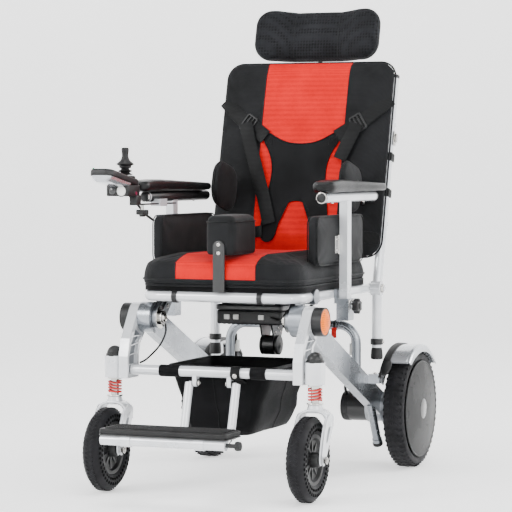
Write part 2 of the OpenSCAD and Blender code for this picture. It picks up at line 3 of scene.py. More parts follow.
import logging
import math
from dataclasses import dataclass, field
from enum import Enum
from typing import Any, Callable, Iterable, Mapping, Optional, Sequence

import bpy
from mathutils import Matrix, Vector
from mathutils.bvhtree import BVHTree

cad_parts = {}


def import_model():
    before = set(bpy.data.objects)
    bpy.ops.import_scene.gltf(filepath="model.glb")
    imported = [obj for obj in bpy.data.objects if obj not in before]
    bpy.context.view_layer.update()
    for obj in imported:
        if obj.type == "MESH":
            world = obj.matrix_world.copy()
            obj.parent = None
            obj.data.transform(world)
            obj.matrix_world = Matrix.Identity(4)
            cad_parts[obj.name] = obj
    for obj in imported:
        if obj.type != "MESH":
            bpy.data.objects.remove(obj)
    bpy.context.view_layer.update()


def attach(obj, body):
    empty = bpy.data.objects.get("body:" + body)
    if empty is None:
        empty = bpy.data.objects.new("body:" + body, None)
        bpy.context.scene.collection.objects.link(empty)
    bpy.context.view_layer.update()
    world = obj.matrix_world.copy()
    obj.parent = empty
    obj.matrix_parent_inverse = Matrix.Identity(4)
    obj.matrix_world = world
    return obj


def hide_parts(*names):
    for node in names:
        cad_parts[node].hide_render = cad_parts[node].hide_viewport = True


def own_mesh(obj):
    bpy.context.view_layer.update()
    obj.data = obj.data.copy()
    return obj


LOG = logging.getLogger("wheelchair")
MM = 0.001
FRAME_Y = 0.051
LEFT, RIGHT = 1.0, -1.0
Point2 = tuple[float, float]


def at(x: float, y: float, z: float) -> Vector:
    """A point given from the middle of the wheelbase, in millimetres, as a place in the row frame."""
    return Vector((x * MM, y * MM + FRAME_Y, z * MM))


def placed(x: float, y: float, z: float) -> Matrix:
    """The matrix that moves a shape made in metres about the origin to `at(x, y, z)`."""
    return Matrix.Translation(at(x, y, z))


def turn(degrees: float, axis: str) -> Matrix:
    """A turn about a main axis, in degrees."""
    return Matrix.Rotation(math.radians(degrees), 4, axis)


BACK = placed(0, 236, 463) @ turn(-14.0, "X")
ALONG_X = turn(90.0, "Y")
ALONG_Y = turn(-90.0, "X")


# ---- shapes --------------------------------------------------------------


@dataclass
class Shape:
    """A mesh being made: points in metres and faces that index them."""

    points: list[Vector] = field(default_factory=list)
    faces: list[tuple[int, ...]] = field(default_factory=list)

    def __add__(self, other: "Shape") -> "Shape":
        """Both shapes as one."""
        shift = len(self.points)
        return Shape(self.points + other.points,
            self.faces + [tuple(i + shift for i in f) for f in other.faces])

    def moved(self, matrix: Matrix) -> "Shape":
        """The shape after a move, turned inside out again if the matrix mirrors it."""
        faces = [tuple(reversed(f)) for f in self.faces] if matrix.determinant() < 0 else list(self.faces)
        return Shape([matrix @ p for p in self.points], faces)

    def mirrored(self, side: float = RIGHT) -> "Shape":
        """The shape on the asked side of the mid-plane."""
        return self.moved(Matrix.Diagonal((side, 1, 1, 1)))

    def bent(self, law: Callable[[Vector], Vector]) -> "Shape":
        """The shape with every point moved by a law."""
        return Shape([law(p) for p in self.points], list(self.faces))


def joined(shapes: Iterable[Shape]) -> Shape:
    """Several shapes as one.

    Args:
        shapes: The shapes to put together.

    Returns:
        One shape that holds them all.
    """
    whole = Shape()
    for part in shapes:
        whole = whole + part
    return whole


def loft(rings: Sequence[Sequence[Vector]], caps: bool = True, around: bool = False) -> Shape:
    """A skin over rings of equal count.

    Args:
        rings: Closed loops of points, in order.
        caps: Whether the first and last ring are closed by a face.
        around: Whether the last ring joins the first, as in a torus.

    Returns:
        The skinned shape.
    """
    count, n = len(rings), len(rings[0])
    points = [p for ring in rings for p in ring]
    faces: list[tuple[int, ...]] = []
    for i in range(count if around else count - 1):
        low, high = i * n, ((i + 1) % count) * n
        for k in range(n):
            m = (k + 1) % n
            faces.append((low + k, low + m, high + m, high + k))
    if caps and not around:
        faces.append(tuple(reversed(range(n))))
        faces.append(tuple((count - 1) * n + k for k in range(n)))
    return Shape(points, faces)


def circle(radius: float, sides: int = 24) -> list[Point2]:
    """Points round a circle."""
    return [(radius * math.cos(2 * math.pi * k / sides), radius * math.sin(2 * math.pi * k / sides))
        for k in range(sides)]


def rounded_rect(half_x: float, half_y: float, radius: float, steps: int = 6) -> list[Point2]:
    """A rectangle with round corners, as points going round it.

    Args:
        half_x: Half of the width.
        half_y: Half of the depth.
        radius: The corner radius.
        steps: How many steps each corner takes.

    Returns:
        The outline, anticlockwise.
    """
    radius = min(radius, half_x * 0.999, half_y * 0.999)
    out: list[Point2] = []
    for cx, cy, start in ((1, 1, 0), (-1, 1, 90), (-1, -1, 180), (1, -1, 270)):
        for k in range(steps + 1):
            a = math.radians(start + 90 * k / steps)
            out.append((cx * (half_x - radius) + radius * math.cos(a),
                cy * (half_y - radius) + radius * math.sin(a)))
    return out


def dense(outline: Sequence[Point2], spacing: float) -> list[Point2]:
    """The same outline with its long sides divided.

    Args:
        outline: The outline.
        spacing: The furthest that two neighbouring points may be apart.

    Returns:
        The divided outline.
    """
    out: list[Point2] = []
    for (ax, ay), (bx, by) in zip(outline, list(outline[1:]) + [outline[0]]):
        steps = max(1, int(math.hypot(bx - ax, by - ay) / spacing))
        out += [(ax + (bx - ax) * k / steps, ay + (by - ay) * k / steps) for k in range(steps)]
    return out


def softened(outline: Sequence[Point2], rounds: int = 2) -> list[Point2]:
    """An outline with its corners cut round.

    Args:
        outline: The outline.
        rounds: How many times the corners are cut.

    Returns:
        The softer outline.
    """
    pts = list(outline)
    for _ in range(rounds):
        pts = [q for a, b in zip(pts, pts[1:] + pts[:1]) for q in
               ((a[0] * 0.75 + b[0] * 0.25, a[1] * 0.75 + b[1] * 0.25),
                   (a[0] * 0.25 + b[0] * 0.75, a[1] * 0.25 + b[1] * 0.75))]
    return pts


def inset(outline: Sequence[Point2], by: float) -> list[Point2]:
    """An outline moved inwards.

    Args:
        outline: The outline, anticlockwise.
        by: The distance.

    Returns:
        The smaller outline.
    """
    n = len(outline)
    out: list[Point2] = []
    for k in range(n):
        ax, ay = outline[k - 1]
        bx, by_ = outline[(k + 1) % n]
        tx, ty = bx - ax, by_ - ay
        size = math.hypot(tx, ty) or 1.0
        out.append((outline[k][0] - by * ty / size, outline[k][1] + by * tx / size))
    return out


def slab(outline: Sequence[Point2], low: float, high: float, edge: float = 0.0, steps: int = 3) -> Shape:
    """An outline in XY given thickness along Z, with a round edge top and bottom.

    Args:
        outline: The plan outline, anticlockwise, in millimetres.
        low: The lower face, in millimetres.
        high: The upper face, in millimetres.
        edge: The edge radius, in millimetres.
        steps: How many rings each round edge takes.

    Returns:
        The closed slab, in metres.
    """
    levels: list[Point2] = []
    if edge > 0:
        for k in range(steps + 1):
            a = math.pi / 2 * k / steps
            levels.append((edge * (1 - math.sin(a)), low + edge * (1 - math.cos(a))))
        for k in range(steps, -1, -1):
            a = math.pi / 2 * k / steps
            levels.append((edge * (1 - math.sin(a)), high - edge * (1 - math.cos(a))))
    else:
        levels = [(0, low), (0, high)]
    return loft([[Vector((x * MM, y * MM, z * MM)) for x, y in inset(outline, d)] for d, z in levels])


def pillow(outline: Sequence[Point2], thick: float, edge: float, crown: float, rings: int = 7) -> Shape:
    """A stuffed pad: an outline in XY whose two faces swell between round edges.

    Args:
        outline: The plan outline, anticlockwise, in millimetres.
        thick: The thickness at the edge roll, in millimetres.
        edge: The radius of the edge roll, in millimetres.
        crown: How far each face swells past the edge roll, in millimetres.
        rings: How many rings each face takes between the roll and the middle.

    Returns:
        The closed pad about Z = 0, in metres.
    """
    cx = sum(p[0] for p in outline) / len(outline)
    cy = sum(p[1] for p in outline) / len(outline)
    half: list[list[Vector]] = []
    for k in range(5):
        a = math.pi / 2 * k / 4
        loop = inset(outline, edge * (1 - math.cos(a)))
        half.append([Vector((x * MM, y * MM, ((thick / 2 - edge) + edge * math.sin(a)) * MM)) for x,
            y in loop])
    rim = inset(outline, edge)
    for k in range(1, rings + 1):
        t = k / (rings + 0.35)
        h = thick / 2 + crown * math.sin(math.pi / 2 * min(1.0, t * 1.15)) ** 0.8
        half.append([Vector(((x + (cx - x) * t) * MM, (y + (cy - y) * t) * MM, h * MM)) for x, y in rim])
    lower = [[Vector((p.x, p.y, -p.z)) for p in ring] for ring in reversed(half)]
    return loft(lower + half)


def lathe(profile: Sequence[Point2], sides: int = 48) -> Shape:
    """A turned piece about Z from (radius, height) pairs in millimetres, from one end to the other."""
    rings = [[Vector((r * math.cos(2 * math.pi * k / sides) * MM,
        r * math.sin(2 * math.pi * k / sides) * MM, h * MM))
              for k in range(sides)] for r, h in profile]
    return loft(rings)


def torus_of(profile: Sequence[Point2], sides: int = 72) -> Shape:
    """A ring about Z whose section is a closed loop of (radius, height) pairs in millimetres."""
    rings = [[Vector((r * math.cos(a) * MM, r * math.sin(a) * MM, h * MM)) for r, h in profile]
             for a in (2 * math.pi * k / sides for k in range(sides))]
    return loft(rings, around=True)


def smooth_path(points: Sequence[Vector], steps: int = 8) -> list[Vector]:
    """A smooth line through the points.

    Args:
        points: The places that it passes.
        steps: How many points each stretch takes.

    Returns:
        The points of the line.
    """
    pts = [points[0] * 2 - points[1]] + list(points) + [points[-1] * 2 - points[-2]]
    out: list[Vector] = []
    for i in range(1, len(pts) - 2):
        a, b, c, d = pts[i - 1], pts[i], pts[i + 1], pts[i + 2]
        for k in range(steps):
            t = k / steps
            out.append(0.5 * ((2 * b) + (c - a) * t + (2 * a - 5 * b + 4 * c - d) * t * t
                + (3 * b - a - 3 * c + d) * t ** 3))
    out.append(points[-1].copy())
    return out


def sweep(path: Sequence[Vector], section: Sequence[Point2], normal: Vector = Vector((0, 0, 1)),
        closed: bool = False) -> Shape:
    """A section carried along a path without twist.

    Args:
        path: The points it follows, in metres.
        section: The outline across the path, in millimetres, as (sideways, along the normal).
        normal: The direction that the section's second axis starts near.
        closed: Whether the path is a loop.

    Returns:
        The swept shape.
    """
    rings: list[list[Vector]] = []
    up = normal.normalized()
    n = len(path)
    for i, p in enumerate(path):
        ahead = path[(i + 1) % n] if closed or i < n - 1 else p
        behind = path[i - 1] if closed or i > 0 else p
        t = (ahead - behind).normalized()
        up = (up - t * up.dot(t)).normalized() if (up - t
            * up.dot(t)).length > 1e-6 else t.orthogonal().normalized()
        side = t.cross(up).normalized()
        rings.append([p + side * (-x * MM) + up * (y * MM) for x, y in section])
    return loft(rings, around=closed)


def tube(points: Sequence[Vector], radius: float, sides: int = 12, smooth: bool = True) -> Shape:
    """A round tube of a radius in millimetres through the points."""
    return sweep(smooth_path(points) if smooth else list(points), circle(radius, sides),
        Vector((0.13, 0.21, 0.97)))


def webbing(points: Sequence[Vector], width: float, normal: Vector, thick: float = 1.6) -> Shape:
    """Flat webbing of a width in millimetres that follows the points with its face towards `normal`."""
    section = rounded_rect(width / 2, thick / 2, thick / 2.2, 2)
    return sweep(smooth_path(points, 6), section, normal)


def block(low: Vector, high: Vector, edge: float = 1.0) -> Shape:
    """A box between two corners with softened edges, in metres."""
    mid, size = (low + high) / 2, (high - low) / MM
    return slab(rounded_rect(size.x / 2, size.y / 2, max(edge, 0.05), 3), -size.z / 2, size.z / 2, edge,
        2).moved(Matrix.Translation(mid))


def bolt(radius: float, height: float, recess: float = 0.45) -> Shape:
    """A button-head socket screw about Z, seated on Z = 0."""
    inner = radius * recess
    return lathe([(radius, 0), (radius, height * 0.35), (radius * 0.86, height * 0.8),
        (radius * 0.62, height), (inner, height),
                  (inner, height * 0.35), (0.01, height * 0.35)], 20)


def hex_nut(across: float, height: float) -> Shape:
    """A hexagon nut about Z, seated on Z = 0."""
    return slab(circle(across / 2 / math.cos(math.pi / 6), 6), 0, height, 0.6, 1) + lathe(
        [(across * 0.28, height), (across * 0.28, height + 1.5), (across * 0.2, height + 2.2),
            (0.01, height + 2.2)], 16)


# ---- finishes ------------------------------------------------------------


def linear(hex_colour: str) -> tuple[float, float, float, float]:
    """An sRGB hex value as linear light with full alpha."""
    raw = [int(hex_colour[i:i + 2], 16) / 255 for i in (1, 3, 5)]
    return tuple(c / 12.92 if c <= 0.04045 else ((c + 0.055) / 1.055) ** 2.4 for c in raw) + (1.0,)


def add_node(tree: bpy.types.NodeTree, kind: str, values: Optional[Mapping[Any, Any]] = None,
             links: Optional[Mapping[Any, Any]] = None, **settings: Any) -> bpy.types.Node:
    """Adds one node with its settings, socket values and incoming links.

    Args:
        tree: The node tree.
        kind: The node's type name.
        values: Socket name or index to the value it holds.
        links: Socket name or index to the output socket that feeds it.
        **settings: Attributes of the node itself.

    Returns:
        The new node.
    """
    made = tree.nodes.new(kind)
    for key, value in settings.items():
        setattr(made, key, value)
    for key, value in (values or {}).items():
        made.inputs[key].default_value = value
    for key, source in (links or {}).items():
        tree.links.new(source, made.inputs[key])
    return made


class Texture(Enum):
    """The small-scale surface that a finish has."""

    PEEL = "orange peel of a sprayed or powder coat"
    GRAIN = "random moulded or blasted grain"
    LEATHER = "cells with creases between them"
    WEAVE = "over-and-under threads"
    MESH = "open holes of a spacer mesh"
    PRISM = "moulded prisms of a reflector"
    BRUSHED = "long fine scratches"


@dataclass(frozen=True)
class Finish:
    """What a piece is made of and how its surface was made.

    The colour wanders slowly to `shade` over `patch_mm`, and the texture at `pitch_mm` lifts the surface by
    `relief_mm`; its hollows are darkened with painted shade.
    """

    name: str
    colour: str
    shade: str
    roughness: float
    metallic: float = 0.0
    texture: Texture = Texture.PEEL
    pitch_mm: float = 2.0
    relief_mm: float = 0.03
    hollow_shade: float = 0.15
    spread: float = 0.08
    patch_mm: float = 90.0
    coat: float = 0.0
    sheen: float = 0.0
    ior: float = 1.5
    gloss: float = 0.5
    glow: float = 0.0
    glow_high: float = 0.0

    def height(self, tree: bpy.types.NodeTree, where: Any) -> Any:
        """The texture's height as a socket from about 0 to 1.

        Args:
            tree: The material's node tree.
            where: The socket with the place in millimetres divided by the pitch.

        Returns:
            The output socket that carries the height.
        """
        if self.texture is Texture.WEAVE:
            wave = add_node(tree, "ShaderNodeVectorMath", links={0: add_node(
                tree, "ShaderNodeVectorMath", {1: (math.pi,) * 3}, {0: where},
                operation="MULTIPLY").outputs[0]}, operation="SINE")
            split = add_node(tree, "ShaderNodeSeparateXYZ", links={0: wave.outputs[0]})
            both = add_node(tree, "ShaderNodeMath", links={0: split.outputs[0], 1: split.outputs[2]},
                operation="MULTIPLY")
            more = add_node(tree, "ShaderNodeMath", links={0: both.outputs[0], 1: split.outputs[1]},
                operation="ADD")
            return add_node(tree, "ShaderNodeMapRange", {1: -1.2, 2: 1.2}, {0: more.outputs[0]}).outputs[0]
        if self.texture in (Texture.MESH, Texture.PRISM):
            cell = add_node(tree, "ShaderNodeTexVoronoi", {"Scale": 1.0, "Randomness": 0.12},
                {"Vector": where})
            return add_node(tree, "ShaderNodeMapRange", {1: 0.18, 2: 0.5},
                {0: cell.outputs["Distance"]}).outputs[0]
        if self.texture is Texture.LEATHER:
            cell = add_node(tree, "ShaderNodeTexVoronoi", {"Scale": 1.0, "Randomness": 1.0},
                {"Vector": where}, feature="DISTANCE_TO_EDGE")
            return add_node(tree, "ShaderNodeMapRange", {1: 0.0, 2: 0.22},
                {0: cell.outputs["Distance"]}).outputs[0]
        if self.texture is Texture.BRUSHED:
            long_way = add_node(tree, "ShaderNodeVectorMath", {1: (1.0, 0.04, 1.0)}, {0: where},
                operation="MULTIPLY")
            return add_node(tree, "ShaderNodeTexNoise", {"Scale": 1.0, "Detail": 3.0},
                {"Vector": long_way.outputs[0]}).outputs[0]
        detail = 2.0 if self.texture is Texture.PEEL else 5.0
        return add_node(tree, "ShaderNodeTexNoise", {"Scale": 1.0, "Detail": detail},
            {"Vector": where}).outputs[0]

    def tint(self, tree: bpy.types.NodeTree, place: Any, broad: Any) -> Any:
        """The colour before the painted shade darkens the hollows."""
        fade = add_node(tree, "ShaderNodeMapRange", {1: 0.38, 2: 0.66}, {0: broad})
        return add_node(tree, "ShaderNodeMix", {6: linear(self.colour), 7: linear(self.shade)},
            {0: fade.outputs[0]},
                        data_type="RGBA").outputs[2]

    def extra_height(self, tree: bpy.types.NodeTree, place: Any, height: Any) -> Any:
        """The height after what a special finish adds, such as a seam."""
        return height

    def build(self) -> bpy.types.Material:
        """The material, made once and shared after that.

        Returns:
            The material.
        """
        found = bpy.data.materials.get(self.name)
        if found:
            return found
        made = bpy.data.materials.new(self.name)
        made.use_nodes = True
        made.diffuse_color = linear(self.colour)
        tree = made.node_tree
        tree.nodes.clear()
        place = add_node(tree, "ShaderNodeTexCoord").outputs["Object"]
        fine = add_node(tree, "ShaderNodeVectorMath", {1: (1000 / self.pitch_mm,) * 3}, {0: place},
            operation="MULTIPLY").outputs[0]
        coarse = add_node(tree, "ShaderNodeVectorMath", {1: (1000 / self.patch_mm,) * 3}, {0: place},
            operation="MULTIPLY").outputs[0]
        broad = add_node(tree, "ShaderNodeTexNoise", {"Scale": 1.0, "Detail": 4.0, "Roughness": 0.6},
            {"Vector": coarse}).outputs[0]
        height = self.height(tree, fine)
        # Painted shade: the low places of the texture are darkened.
        painted_hollow_shade = add_node(tree, "ShaderNodeMapRange", {3: 1.0 - self.hollow_shade, 4: 1.0}, {0: height}).outputs[0]
        shaded = add_node(tree, "ShaderNodeMix", {0: 1.0}, {6: self.tint(tree, place, broad), 7: painted_hollow_shade},
                          data_type="RGBA", blend_type="MULTIPLY").outputs[2]
        rough = add_node(tree, "ShaderNodeMapRange",
            {1: 0.3, 2: 0.7, 3: max(0.02, self.roughness - self.spread),
                4: min(1.0, self.roughness + self.spread)},
                         {0: broad}).outputs[0]
        bump = add_node(tree, "ShaderNodeBump", {"Strength": 1.0, "Distance": self.relief_mm * MM},
                        {"Height": self.extra_height(tree, place, height)})
        shader = add_node(tree, "ShaderNodeBsdfPrincipled",
                          {"Metallic": self.metallic, "Coat Weight": self.coat, "Coat Roughness": 0.12,
                              "Sheen Weight": self.sheen,
                           "Sheen Roughness": 0.4, "Specular IOR Level": self.gloss,
                           "Emission Color": (1.0, 1.0, 1.0, 1.0),
                           "Emission Strength": self.glow,
                           "IOR": 1.5 if self.metallic >= 1.0 else self.ior},
                          {"Base Color": shaded, "Roughness": rough, "Normal": bump.outputs[0]})
        if self.glow_high:
            tall = add_node(tree, "ShaderNodeSeparateXYZ", links={0: place}).outputs[2]
            rise = add_node(tree, "ShaderNodeMapRange", {1: 0.0, 2: 2.5, 3: self.glow, 4: self.glow_high},
                {0: tall}).outputs[0]
            tree.links.new(rise, shader.inputs["Emission Strength"])
        add_node(tree, "ShaderNodeOutputMaterial", links={0: shader.outputs[0]})
        return made


@dataclass(frozen=True)
class PanelFinish(Finish):
    """Spacer mesh sewn from a coloured middle panel and darker sides, with a sunk seam between them.

    `half_mm` is the half-width of the middle panel, which ends at the height `floor_mm`.
    """

    panel: str = "#c81e1e"
    panel_shade: str = "#a01414"
    half_mm: float = 110.0
    taper: float = 0.0
    floor_mm: float = -1000.0

    def mask(self, tree: bpy.types.NodeTree, place: Any) -> Any:
        """How far a place is from the mid-line of the cover.

        Args:
            tree: The node tree.
            place: The output that gives the place.

        Returns:
            The output that gives the distance.
        """
        split = add_node(tree, "ShaderNodeSeparateXYZ", links={0: place})
        across = add_node(tree, "ShaderNodeMath", links={0: split.outputs[0]},
            operation="ABSOLUTE").outputs[0]
        tall = add_node(tree, "ShaderNodeMath", {1: self.taper}, {0: split.outputs[2]},
            operation="MULTIPLY").outputs[0]
        return add_node(tree, "ShaderNodeMath", links={0: across, 1: tall}, operation="ADD").outputs[0]

    def tint(self, tree: bpy.types.NodeTree, place: Any, broad: Any) -> Any:
        """The middle panel's colour or the sides'.

        Args:
            tree: The node tree.
            place: The output that gives the place.
            broad: The output of the broad cloudy pattern.

        Returns:
            The output that gives the colour.
        """
        sides = super().tint(tree, place, broad)
        fade = add_node(tree, "ShaderNodeMapRange", {1: 0.38, 2: 0.66}, {0: broad}).outputs[0]
        middle = add_node(tree, "ShaderNodeMix", {6: linear(self.panel), 7: linear(self.panel_shade)},
            {0: fade}, data_type="RGBA").outputs[2]
        beyond = add_node(tree, "ShaderNodeMath", {1: self.half_mm * MM}, {0: self.mask(tree, place)},
            operation="SUBTRACT").outputs[0]
        tall = add_node(tree, "ShaderNodeSeparateXYZ", links={0: place}).outputs[2]
        below = add_node(tree, "ShaderNodeMath", {0: self.floor_mm * MM}, {1: tall},
            operation="SUBTRACT").outputs[0]
        past = add_node(tree, "ShaderNodeMath", links={0: beyond, 1: below}, operation="MAXIMUM").outputs[0]
        inside = add_node(tree, "ShaderNodeMapRange", {1: -0.0008, 2: 0.0008, 3: 0.0, 4: 1.0},
            {0: past}).outputs[0]
        return add_node(tree, "ShaderNodeMix", {}, {0: inside, 6: middle, 7: sides},
            data_type="RGBA").outputs[2]


class Finishes(Enum):
    """Every finish on the chair, named for what it is."""

    # Silver-grey powder coat over aluminium tube: a fine metallic sparkle under a soft gloss.
    SILVER_POWDER = Finish("silver_powder_coat", "#989da3", "#858a90", 0.27, 0.85, Texture.PEEL, 2.4, 0.02,
        0.06, coat=0.5)
    # Gloss white powder coat on steel tube and castings: bright, with a slight orange peel.
    WHITE_POWDER = Finish("gloss_white_powder_coat", "#d9dbde", "#c9ccd0", 0.22, 0.3, Texture.PEEL, 3.0,
        0.03, 0.04, coat=0.6)
    # The same coat where it lies in the web of a casting and in the fork's slot recesses: painted greyer as
    # shade, and duller.
    GREY_POWDER = Finish("powder_coat_painted_recess_shade", "#6f7479", "#5c6166", 0.4, 0.4, Texture.PEEL, 2.4, 0.03, 0.1,
        coat=0.2)
    # Shot-blasted cast aluminium: bright grey with a pitted, satin skin.
    CAST_ALUMINIUM = Finish("blasted_cast_aluminium", "#a9acb0", "#8d9196", 0.36, 1.0, Texture.GRAIN, 1.4,
        0.05, 0.15)
    # Nickel-plated steel of pins, bolts and latches: a clear reflection with faint wipe marks.
    PLATED_STEEL = Finish("nickel_plated_steel", "#c9c7c3", "#b1afab", 0.14, 1.0, Texture.BRUSHED, 0.8,
        0.01, 0.08, 0.05)
    # Satin black powder coat on steel brackets and motor cases.
    BLACK_POWDER = Finish("satin_black_powder_coat", "#141516", "#0c0d0e", 0.36, 0.0, Texture.PEEL, 1.6,
        0.03, 0.15, coat=0.2)
    # Moulded glass-filled nylon and ABS: near black with a fine spark-eroded grain.
    BLACK_ABS = Finish("moulded_black_abs", "#131415", "#0b0c0d", 0.44, 0.0, Texture.GRAIN, 0.9, 0.03, 0.2,
        ior=1.53, gloss=0.35)
    # Polished black ABS of the joystick frame.
    GLOSS_ABS = Finish("polished_black_abs", "#101113", "#0a0b0c", 0.16, 0.0, Texture.PEEL, 6.0, 0.01, 0.05,
        coat=0.5, ior=1.53)
    # Wheel covers: a black gloss moulding with a soft reflection.
    COVER_ABS = Finish("black_gloss_wheel_cover", "#0b0c0d", "#070808", 0.26, 0.0, Texture.PEEL, 8.0, 0.02,
        0.05, gloss=0.08)
    # Silver-sprayed ABS of the joystick's lower shell and the fenders.
    SILVER_ABS = Finish("silver_sprayed_abs", "#c3c6ca", "#b0b4b9", 0.2, 0.7, Texture.PEEL, 3.0, 0.02, 0.05,
        coat=0.6)
    # Solid polyurethane tyres: charcoal and matt, with painted shade darkening the pores.
    TYRE = Finish("solid_polyurethane_tyre", "#17171a", "#101012", 0.6, 0.0, Texture.GRAIN, 1.1, 0.08, 0.25,
        0.1, 40.0, ior=1.52, gloss=0.16)
    # The shaded inside of the tyre's moulded pockets.
    POCKET = Finish("tyre_pocket", "#060607", "#030303", 0.9, 0.0, Texture.GRAIN, 1.1, 0.02, 0.2,
        gloss=0.05)
    # Integral-skin polyurethane of the arm pads: black, slightly shiny, finely creased.
    SKIN_FOAM = Finish("integral_skin_foam", "#121314", "#0b0c0d", 0.36, 0.0, Texture.LEATHER, 1.8, 0.05,
        0.25, gloss=0.2)
    # Rubber of the boots, bellows and foot pad.
    RUBBER = Finish("black_moulded_rubber", "#131314", "#0b0b0c", 0.52, 0.0, Texture.GRAIN, 1.0, 0.03, 0.2,
        ior=1.52, gloss=0.3)
    # Plain-woven nylon of the bag and the pan: threads about 0.6 mm, drawn at 2 mm so that they show.
    NYLON = Finish("black_woven_nylon", "#0e0e10", "#08090a", 0.66, 0.0, Texture.WEAVE, 2.0, 0.22, 0.45,
        sheen=0.02, gloss=0.08)
    # Nylon webbing of the straps: thick yarn and a faint shine.
    WEBBING = Finish("black_nylon_webbing", "#0f1011", "#090a0b", 0.5, 0.0, Texture.WEAVE, 1.6, 0.25, 0.5,
        sheen=0.03, gloss=0.12)
    # Knitted spacer mesh, black: open diamond holes about 3 mm apart.
    BLACK_MESH = Finish("black_spacer_mesh", "#1b1c1f", "#111214", 0.7, 0.0, Texture.MESH, 8.0, 1.0, 0.9,
        sheen=0.04, gloss=0.1)
    # Smooth stretch knit over foam on the side pads.
    BLACK_KNIT = Finish("black_stretch_knit", "#161719", "#0e0f10", 0.68, 0.0, Texture.WEAVE, 1.5, 0.1, 0.3,
        sheen=0.06, gloss=0.15)
    # Neoprene of the chest harness, faced with loop knit.
    NEOPRENE = Finish("charcoal_neoprene", "#121315", "#0c0d0e", 0.7, 0.0, Texture.GRAIN, 1.2, 0.12, 0.3,
        sheen=0.03, gloss=0.1)
    # Seat cover: red spacer mesh in the middle, black at the sides and round the border.
    SEAT_CLOTH = PanelFinish("red_and_black_seat_mesh", "#151618", "#0e0f10", 0.7, 0.0, Texture.MESH, 3.4,
        0.3, 0.4, sheen=0.03, gloss=0.12,
                             panel="#c80204", panel_shade="#b40103", half_mm=103.0, floor_mm=503.0)
    # Back cover: the same cloths in three upright panels.
    BACK_CLOTH = PanelFinish("red_and_black_back_mesh", "#151618", "#0e0f10", 0.7, 0.0, Texture.MESH, 3.4,
        0.3, 0.4, sheen=0.03, gloss=0.12,
                             panel="#c80204", panel_shade="#b40103", half_mm=115.0)
    # Clear orange acrylic over moulded prisms.
    ORANGE_LENS = Finish("orange_acrylic_reflector", "#f07400", "#e85a00", 0.3, 0.0, Texture.PRISM, 5.0,
        0.5, 0.5, 0.04, ior=1.49, gloss=0.08)
    # Red stove enamel on the suspension coils.
    RED_ENAMEL = Finish("red_enamelled_spring_steel", "#c40804", "#a80502", 0.26, 0.0, Texture.PEEL, 2.0,
        0.02, 0.08, coat=0.3)
    # Glossy magenta-red moulding of the switch.
    RED_BUTTON = Finish("red_moulded_switch", "#85163c", "#6a0f2f", 0.3, 0.0, Texture.PEEL, 3.0, 0.01, 0.05,
        coat=0.3)
    # Frosted white lamp window.
    WHITE_LENS = Finish("frosted_lamp_window", "#f2f2ee", "#dcdcd8", 0.15, 0.0, Texture.PRISM, 2.0, 0.1,
        0.1, coat=0.8, ior=1.49)
    # Green indicator window.
    GREEN_LENS = Finish("green_indicator_window", "#12a06a", "#0c8656", 0.2, 0.0, Texture.PEEL, 2.0, 0.01,
        0.05, coat=0.6)
    # White moulded nylon of the cable connectors.
    WHITE_NYLON = Finish("white_moulded_nylon", "#d8d8d4", "#c6c6c2", 0.42, 0.0, Texture.GRAIN, 1.0, 0.02,
        0.1, ior=1.53)
    # Soft PVC of the cable sheaths.
    CABLE_PVC = Finish("black_cable_sheath", "#111112", "#0a0a0b", 0.4, 0.0, Texture.GRAIN, 1.2, 0.02, 0.15,
        gloss=0.35)
    # Printed red polyester of a small pull tag.
    RED_TAG = Finish("red_woven_tag", "#c8201a", "#a8150f", 0.6, 0.0, Texture.WEAVE, 1.2, 0.08, 0.3,
        gloss=0.2)
    # Shrink film on the battery.
    SHRINK_FILM = Finish("blue_shrink_film", "#253653", "#1c2a40", 0.3, 0.0, Texture.PEEL, 5.0, 0.03, 0.08,
        coat=0.3)
    # Pale studio paper, lit from behind so that it stays close to white.
    STUDIO_PAPER = Finish("pale_studio_paper", "#f6f6f6", "#f2f2f2", 0.9, 0.0, Texture.GRAIN, 3.0, 0.01,
        0.02, 0.02, 600.0, gloss=0.1, glow=0.72, glow_high=1.05)


# ---- placing pieces ------------------------------------------------------


def put(name: str, shape: Shape, finish: Finishes, body: str, *, hides: Sequence[str] = (),
        round_mm: float = 0.0,
        subdivide: int = 0, sharp: float = 40.0) -> bpy.types.Object:
    """Makes one piece of the chair and gives it its finish and body.

    Args:
        name: The piece's name.
        shape: Its mesh, in the row frame.
        finish: What it is made of.
        body: The CAD body that it moves with.
        hides: The CAD nodes that it stands for.
        round_mm: The radius that its hard edges are rounded to, or 0.
        subdivide: How many levels of subdivision it gets.
        sharp: The angle in degrees past which an edge stays crisp.

    Returns:
        The new object.
    """
    mesh = bpy.data.meshes.new(name)
    mesh.from_pydata([tuple(p) for p in shape.points], [], [list(f) for f in shape.faces])
    mesh.validate()
    mesh.polygons.foreach_set("use_smooth", [True] * len(mesh.polygons))
    if not subdivide:
        mesh.set_sharp_from_angle(angle=math.radians(sharp))
    mesh.update()
    made = bpy.data.objects.new(name, mesh)
    bpy.context.scene.collection.objects.link(made)
    mesh.materials.append(finish.value.build())
    if round_mm > 0:
        edge = made.modifiers.new("edge", "BEVEL")
        edge.width = round_mm * MM
        edge.segments = 2
        edge.limit_method = "ANGLE"
        edge.angle_limit = math.radians(sharp)
    if subdivide:
        smooth = made.modifiers.new("smooth", "SUBSURF")
        smooth.levels = smooth.render_levels = subdivide
    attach(made, body)
    if hides:
        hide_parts(*hides)
    LOG.info("%s on %s in %s", name, body, finish.value.name)
    return made


def dress(finish: Finishes, *nodes: str) -> None:
    """Gives CAD nodes a finish.

    Args:
        finish: The finish.
        nodes: The names of the nodes.
    """
    for node in nodes:
        piece = bpy.data.objects[node]
        piece.data.materials.clear()
        piece.data.materials.append(finish.value.build())
        LOG.info("%s keeps its CAD mesh in %s", node, finish.value.name)


# ---- wheels --------------------------------------------------------------


